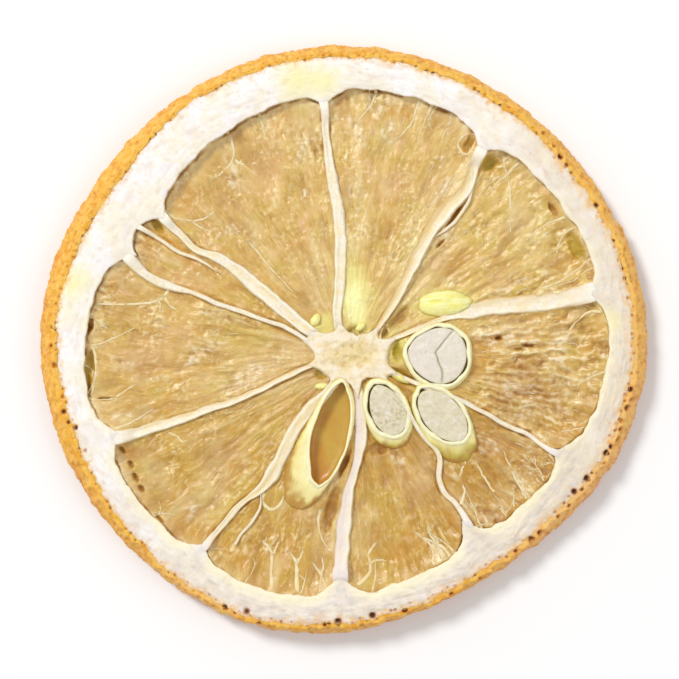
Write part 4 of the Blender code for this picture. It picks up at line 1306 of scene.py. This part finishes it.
# Painted shade in the furrows, gaps and creases, over the film's own darker patches.
amber.coat((164, 110, 42), "dark")
amber.coat((242, 230, 138), "lemon")
amber.coat((254, 249, 180), "mound")
amber.coat((186, 166, 40), "green")
amber.gloss(amber.blotch(0.5, 3, 0.3, 0.7, 0.46, 0.26))
amber.bump(amber.math("ADD", fine, speck), 0.04)

vertex = np.arange(east.size).reshape(east.shape)
# The turn from the sixth rib, under which no one sees where the finish's fine noise starts over.
apart = (bearing - rib_bearings[5]) % TURN / TURN


def squares(points):
    """The four corners of each square of a grid of point numbers."""
    return np.stack([points[:-1, :-1], points[:-1, 1:], points[1:, 1:], points[1:, :-1]], -1)


def film(inside):
    """The closed sheet over the marked coarse squares: fine upper face, coarse underside, and cut."""
    fine = squares(vertex)[np.kron(inside, np.ones((COARSE, COARSE), bool))]
    wide = squares(vertex[::COARSE, ::COARSE])[inside]
    # The cut runs along the edges that belong to one square only.
    start, end = wide.ravel(), np.roll(wide, -1, axis=1).ravel()
    lone = ~np.isin(start.astype(np.int64) * east.size + end, end.astype(np.int64) * east.size + start)
    start, end = start[lone], end[lone]
    used_above, used_below = np.unique(fine), np.unique(wide)
    above, below = np.full(east.size, -1), np.full(east.size, -1)
    above[used_above] = np.arange(len(used_above))
    below[used_below] = np.arange(len(used_below)) + len(used_above)
    edge = [above[end + (start - end) * k // COARSE] for k in range(COARSE + 1)]
    faces = [above[fine], below[wide][:, ::-1], np.stack([*edge, below[start], below[end]], -1)]
    above_points = np.stack([f.ravel()[used_above] for f in (east, north, surface)], -1)
    below_points = np.stack([f.ravel()[used_below] for f in (east, north, underside)], -1)
    return np.concatenate([above_points, below_points]), faces, np.concatenate([used_above, used_below])


def coarse_middle(values):
    """A field's value in the middle of each coarse square."""
    corners = values[::COARSE, ::COARSE]
    return (corners[:-1, :-1] + corners[1:, 1:]) / 2


looks = dict(
    pale=pale, dark=dark, gold=gold, green=green, lemon=0.75 * lemon, gilt=gilt, rose=rose, leafy=leafy,
    milk=0.6 * milk, busy=busy, mound=0.9 * mound,
    across=apart * SACS_IN_A_TURN + 0.8 * drift, along=far + 0.8 * drift,
)
for number, left in enumerate(rib_bearings):
    right = rib_bearings[(number + 1) % len(RIBS)]
    span = (right - left) % TURN
    past = turned_from(bearing, left + span / 2)
    within = (span / 2 - np.abs(past)) * far
    inside = (coarse_middle(within) > -UNDER_RIB) & (coarse_middle(from_pith) > -UNDER_PITH)
    inside &= (coarse_middle(far) > CORE_HOLE) & (coarse_middle(from_seed) > -UNDER_HUSK)
    points, faces, used = film(inside)
    fields = {name: values.ravel()[used] for name, values in looks.items()}
    piece = closed_mesh(f"segment_{number + 1:02d}", points, faces, amber.material, **fields)
    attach(piece, "root")
    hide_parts("lemon_slice")

# ---------------------------------------------------------------------------------------------
# The stalks and hairs are what held the juice sacs: white forked threads that grow in from the
# pith, and short loose hairs of torn sac skin, all dried fast to the film.
# ---------------------------------------------------------------------------------------------
# (from angle, to angle about the middle, how many) of the stretches of pith that carry stalks.
STALKED = (
    (276, 298, 2), (306, 331, 8), (340, 352, 2), (62, 82, 4), (176, 192, 3), (210, 224, 2), (238, 262, 3),
)
# The plainest ones in full: the width at the thick end, then the x and y of points along each.
DRAWN = (
    (0.34, -5.6, -20.2, -5.65, -18.9, -5.6, -17.8, -6, -17.1, -6.35, -16.6),
    (0.26, -5.6, -17.9, -5.25, -17.3, -5, -16.7),
    (0.36, -3.4, -20.9, -3.55, -19.6, -3.55, -18.5, -3.9, -17.9, -4.3, -17.6),
    (0.26, -3.55, -18.6, -3.2, -17.9, -3, -17.4), (0.28, -0.9, -20.6, -1.5, -19.5, -2.3, -18.4),
    (0.2, -1.5, -19.5, -1.3, -18.7, -1.5, -18),
    (0.34, 1.2, -20.6, 2.3, -19.5, 2.6, -18.7, 2.4, -17.7, 3, -16.8),
    (0.24, 2.55, -18.5, 3.3, -18.2, 3.9, -18.3), (0.24, -1.6, -14, -1.75, -15.4, -1.5, -16.4, -1, -17.2),
    (0.24, 3.3, -0.3, 3.35, 0.5, 3.85, 1.25, 4.15, 0.5, 4.15, -0.5),
    (0.34, -6.2, -12.6, -6.4, -13.4, -5.6, -14.1, -4.9, -13.6, -4.6, -12.9),
    (0.28, 8.8, -17.4, 7.6, -16.7, 6.4, -16.2), (0.22, 8, -16.9, 7.4, -15.9, 7.3, -15.3),
    (0.24, -8.9, 16.4, -8.8, 14.8, -9.7, 13.8, -10.6, 13.2), (0.22, -8.8, 14.9, -7.9, 14.4, -6.9, 13.6),
    (0.24, -13.7, 10.1, -12.3, 9.8, -11.2, 10, -10.3, 10.6), (0.2, -12.3, 9.8, -11.4, 9.2, -10.7, 9),
    (0.22, -7.6, 8.2, -5.8, 6, -3.8, 3.9),
    (0.28, -14.2, 4.3, -14.4, 3.6, -15.4, 3.1, -17.2, 2.9, -20.1, 2.9),
    (0.26, -14.5, 3.6, -14.1, 2.9, -13.6, 2.5), (0.2, -15, 3.3, -14.8, 2.7, -14.9, 2.2),
    (0.24, 20.4, 2.2, 19.3, 1.2, 18.9, 0.4, 18.1, -0.6), (0.24, 18.4, 9.9, 17.3, 9.6, 16.2, 8.9, 15.4, 8.1),
    (0.24, 18.9, 9, 18.2, 8.1, 17.9, 7.1), (0.26, 20.3, 6.7, 19.6, 5.7, 18.2, 4.8, 16.4, 4.1),
    (0.18, 20.4, 5.7, 19.5, 5, 18.4, 4.5), (0.22, 13.6, 14.7, 13.9, 13.5, 14.1, 12, 14.1, 10.2, 14.1, 8.9),
    (0.22, 13.8, 13.6, 13, 12.9, 12.1, 11.9), (0.18, 13.3, 13.5, 12.2, 12.7, 11.5, 11.9),
    (0.26, 10.5, 15.2, 9.8, 16.1, 10.4, 16.9, 11.3, 16.8, 11.8, 15.9),
    (0.22, 6.5, 19.6, 5.9, 17.9, 4.5, 16.3), (0.2, 7.6, 19.2, 6.7, 17.2, 6.5, 16.2),
    (0.24, 2.9, 20, 2.3, 18.9, 1.4, 18), (0.16, 10.4, 14.3, 8.8, 12.5, 7.2, 10.9),
    (0.22, 14.9, -12.2, 14, -10.3, 13.6, -9.2), (0.22, 12.8, -12.6, 11.9, -11.3, 11.1, -9.9),
    (0.2, 15.3, -13.7, 15.1, -12, 14.6, -11.4), (0.28, 10.1, -13.6, 10.3, -12.6, 10.2, -12),
    (0.2, 9.9, -11.4, 10.4, -10.2, 11, -9.4), (0.26, 7.7, -18.3, 7.7, -17.3, 6.9, -16.4, 6.1, -15.8),
    (0.22, 8.7, -17.9, 8.2, -17.1, 8.1, -16.4), (0.26, -20.4, -0.6, -20.1, -2.2, -20.2, -3.6, -20.5, -4.6),
    (0.26, -20.4, -4.8, -18.9, -4.9, -16.8, -3.7), (0.2, -20, -0.4, -18.7, 0.1, -17, 0.9),
    (0.2, -17.3, -6.9, -16.3, -6.3, -15.4, -5.7), (0.2, -14.2, -7.7, -13.4, -8, -12.9, -8.5),
    (0.24, -6.5, 18.3, -6.3, 17.4, -6.1, 16.6),
)
STALK_POINTS = 12
STALK_DEPTH = 0.015
HAIRS = 150
HAIR_POINTS = 6


def height_of(x, y):
    """The flesh's surface under any point."""
    column = np.clip((x - steps[0]) / FLESH_STEP, 0, len(steps) - 1.001)
    row = np.clip((y - steps[0]) / FLESH_STEP, 0, len(steps) - 1.001)
    c, r = column.astype(int), row.astype(int)
    u, v = column - c, row - r
    low = surface[r, c] * (1 - u) + surface[r, c + 1] * u
    high = surface[r + 1, c] * (1 - u) + surface[r + 1, c + 1] * u
    return low * (1 - v) + high * v


def laid(flat, sunk=0):
    """A line dried fast to the flesh, and sunk into it by a little."""
    return np.column_stack([flat, height_of(*flat.T) - sunk])


def threads(lines, widths, flatness, sides):
    """Closed flat threads along many lines at once, and the faces that join them into one mesh."""
    ahead = np.gradient(lines, axis=1)
    ahead /= np.maximum(np.linalg.norm(ahead, axis=-1, keepdims=True), 1e-9)
    aside = np.cross(ahead, (0, 0, 1))
    aside /= np.maximum(np.linalg.norm(aside, axis=-1, keepdims=True), 1e-9)
    upward = np.cross(aside, ahead)
    turns = full_turn(sides)
    cosine, sine = np.cos(turns)[:, None], flatness * np.sin(turns)[:, None]
    round_them = aside[:, :, None] * cosine + upward[:, :, None] * sine
    points = lines[:, :, None] + round_them * (widths / 2)[:, :, None, None]
    count, rows = lines.shape[:2]
    each = (np.arange(count) * rows * sides)[:, None, None]
    around = (skin(rows, sides, False, True)[None] + each).reshape(-1, 4)
    first = np.arange(sides) + each[:, 0]
    return points, [around[:, ::-1], first, (first + (rows - 1) * sides)[:, ::-1]]


stalk_lines, stalk_widths = [], []
taper = 0.55 + 0.5 * np.linspace(1, 0, STALK_POINTS) + 0.3 * np.linspace(1, 0, STALK_POINTS) ** 8
for thick, *way in DRAWN:
    corners = np.reshape(way, (-1, 2))
    # One that starts near the pith grows out of it.
    reach = np.hypot(*corners[0])
    (edge,) = pith_edge(np.arctan2(corners[:1, 1], corners[:1, 0]))
    if reach > edge - 1.6:
        corners = np.concatenate([corners[:1] * (edge + 0.35) / reach, corners[int(reach > edge - 0.4):]])
    share = np.linspace(0, 1, len(corners))
    flat = np.stack([through(np.linspace(0, 1, STALK_POINTS), share, known) for known in corners.T], -1)
    flat += 0.04 * luck.standard_normal(flat.shape).clip(-1, 1)
    stalk_lines.append(laid(flat, STALK_DEPTH))
    stalk_widths.append(1.05 * thick * taper * (1 + 0.1 * luck.standard_normal(STALK_POINTS)))
for begin, finish, count in STALKED:
    for at in np.linspace(begin, finish, count):
        at = math.radians(at + luck.uniform(-1.6, 1.6))
        (edge,) = pith_edge(np.array([at]))
        spot = (edge + 0.3) * spoke(at)
        trunk_heading = math.atan2(CORE[1] - spot[1], CORE[0] - spot[0]) + luck.uniform(-0.45, 0.45)
        heading, length, trunk = trunk_heading, luck.uniform(1.2, 3.8), None
        # The first is the trunk, and the others fork off it.
        for branch in range(luck.integers(1, 5)):
            if branch:
                spot = trunk[luck.integers(3, 8)]
                heading = trunk_heading + luck.choice((-1, 1)) * luck.uniform(0.35, 0.9)
                length = luck.uniform(0.5, 1.6)
            bends = np.cumsum(luck.normal(0, 0.14, STALK_POINTS)) + heading
            moves = spoke(bends) * length / STALK_POINTS
            flat = spot + np.cumsum(moves, 0) - moves[0]
            trunk = flat if trunk is None else trunk
            thick = luck.uniform(0.1, 0.14) if branch else luck.uniform(0.13, 0.22)
            stalk_lines.append(laid(flat, STALK_DEPTH))
            stalk_widths.append(thick * taper * (1 + 0.1 * luck.standard_normal(STALK_POINTS)))

thread_skin = Finish("dried sac skin", 0.55, 0.3, soak=0.3, soak_colour=(1, 0.8, 0.5), soak_depth=0.5)
thread_skin.coat((253, 230, 180))
thread_skin.coat((246, 210, 148), thread_skin.blotch(0.9, 4, 0.4, 0.65))
thread_skin.bump(thread_skin.noise(0.1, 3), 0.02)
points, faces = threads(np.array(stalk_lines), np.array(stalk_widths), 0.4, 8)
piece = closed_mesh("sac_stalks", points, faces, thread_skin.material)
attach(piece, "root")
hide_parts("lemon_slice")

hair_lines, hair_widths = [], []
while len(hair_lines) < HAIRS:
    x, y = luck.uniform(-21, 21, 2)
    c, r = int((x - steps[0]) / FLESH_STEP), int((y - steps[0]) / FLESH_STEP)
    wanted = busy[r, c] ** 2 * (from_rib[r, c] > 0.45) * (from_seed[r, c] > 0.3) * (far[r, c] > 3.5)
    if from_pith[r, c] < 0.25 or luck.random() > wanted:
        continue
    heading = math.atan2(CORE[1] - y, CORE[0] - x) + luck.normal(0, 0.25)
    length = 0.25 + luck.gamma(1.6, 0.32)
    bends = heading + np.linspace(-0.5, 0.5, HAIR_POINTS) * luck.normal(0, 0.9)
    hair_lines.append(laid((x, y) + np.cumsum(spoke(bends) * length / HAIR_POINTS, 0)))
    hair_widths.append(luck.uniform(0.07, 0.14) * np.sin(np.linspace(0.25, 2.9, HAIR_POINTS)))
points, faces = threads(np.array(hair_lines), np.array(hair_widths), 0.5, 4)
piece = closed_mesh("sac_hairs", points, faces, thread_skin.material)
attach(piece, "root")
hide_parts("lemon_slice")

# ---------------------------------------------------------------------------------------------
# The table is a plain white board. A soft lamp at the upper left throws short shadows, a weaker one
# at the right and a white room fill them, and the camera looks straight down, as in the photo.
# ---------------------------------------------------------------------------------------------
# Half the table's width, in metres.
TABLE_REACH = 1.5
# What the picture is wide, in millimetres.
VIEW_WIDTH = 57
scene = bpy.context.scene
scene.view_settings.view_transform = "Standard"
floor_mesh = bpy.data.meshes.new("floor")
corners = [(x * TABLE_REACH, y * TABLE_REACH, 0) for x, y in ((-1, -1), (1, -1), (1, 1), (-1, 1))]
floor_mesh.from_pydata(corners, [], [(0, 1, 2, 3)])
floor = bpy.data.objects.new("floor", floor_mesh)
scene.collection.objects.link(floor)
table = Finish("white table", 0.9, specular=0.1)
table.coat((250, 250, 250))
table.coat((246, 246, 246), table.noise(40, 2))
floor_mesh.materials.append(table.material)

world = bpy.data.worlds.new("studio")
world.use_nodes = True
sky = world.node_tree.nodes["Background"]
sky.inputs["Color"].default_value = (1, 1, 1, 1)
sky.inputs["Strength"].default_value = 0.56
scene.world = world


def lamp(name, place, size, power):
    """A round lamp that shines on the slice."""
    light = bpy.data.lights.new(name, "AREA")
    light.shape = "DISK"
    light.size = size
    light.energy = power
    holder = bpy.data.objects.new(name, light)
    holder.location = place
    holder.rotation_mode = "QUATERNION"
    holder.rotation_quaternion = (-holder.location).to_track_quat("-Z", "Y")
    scene.collection.objects.link(holder)


lamp("key from the upper left", (-0.3, 0.3, 0.48), 0.16, 2.45)
lamp("fill from the right", (0.45, -0.1, 0.4), 0.5, 0.6)

camera_data = bpy.data.cameras.new("camera")
camera_data.lens = 85
camera_data.sensor_width = 36
camera_data.clip_start = 0.005
camera = bpy.data.objects.new("camera", camera_data)
camera.location = (0, 0, VIEW_WIDTH * MM * camera_data.lens / camera_data.sensor_width)
scene.collection.objects.link(camera)
scene.camera = camera
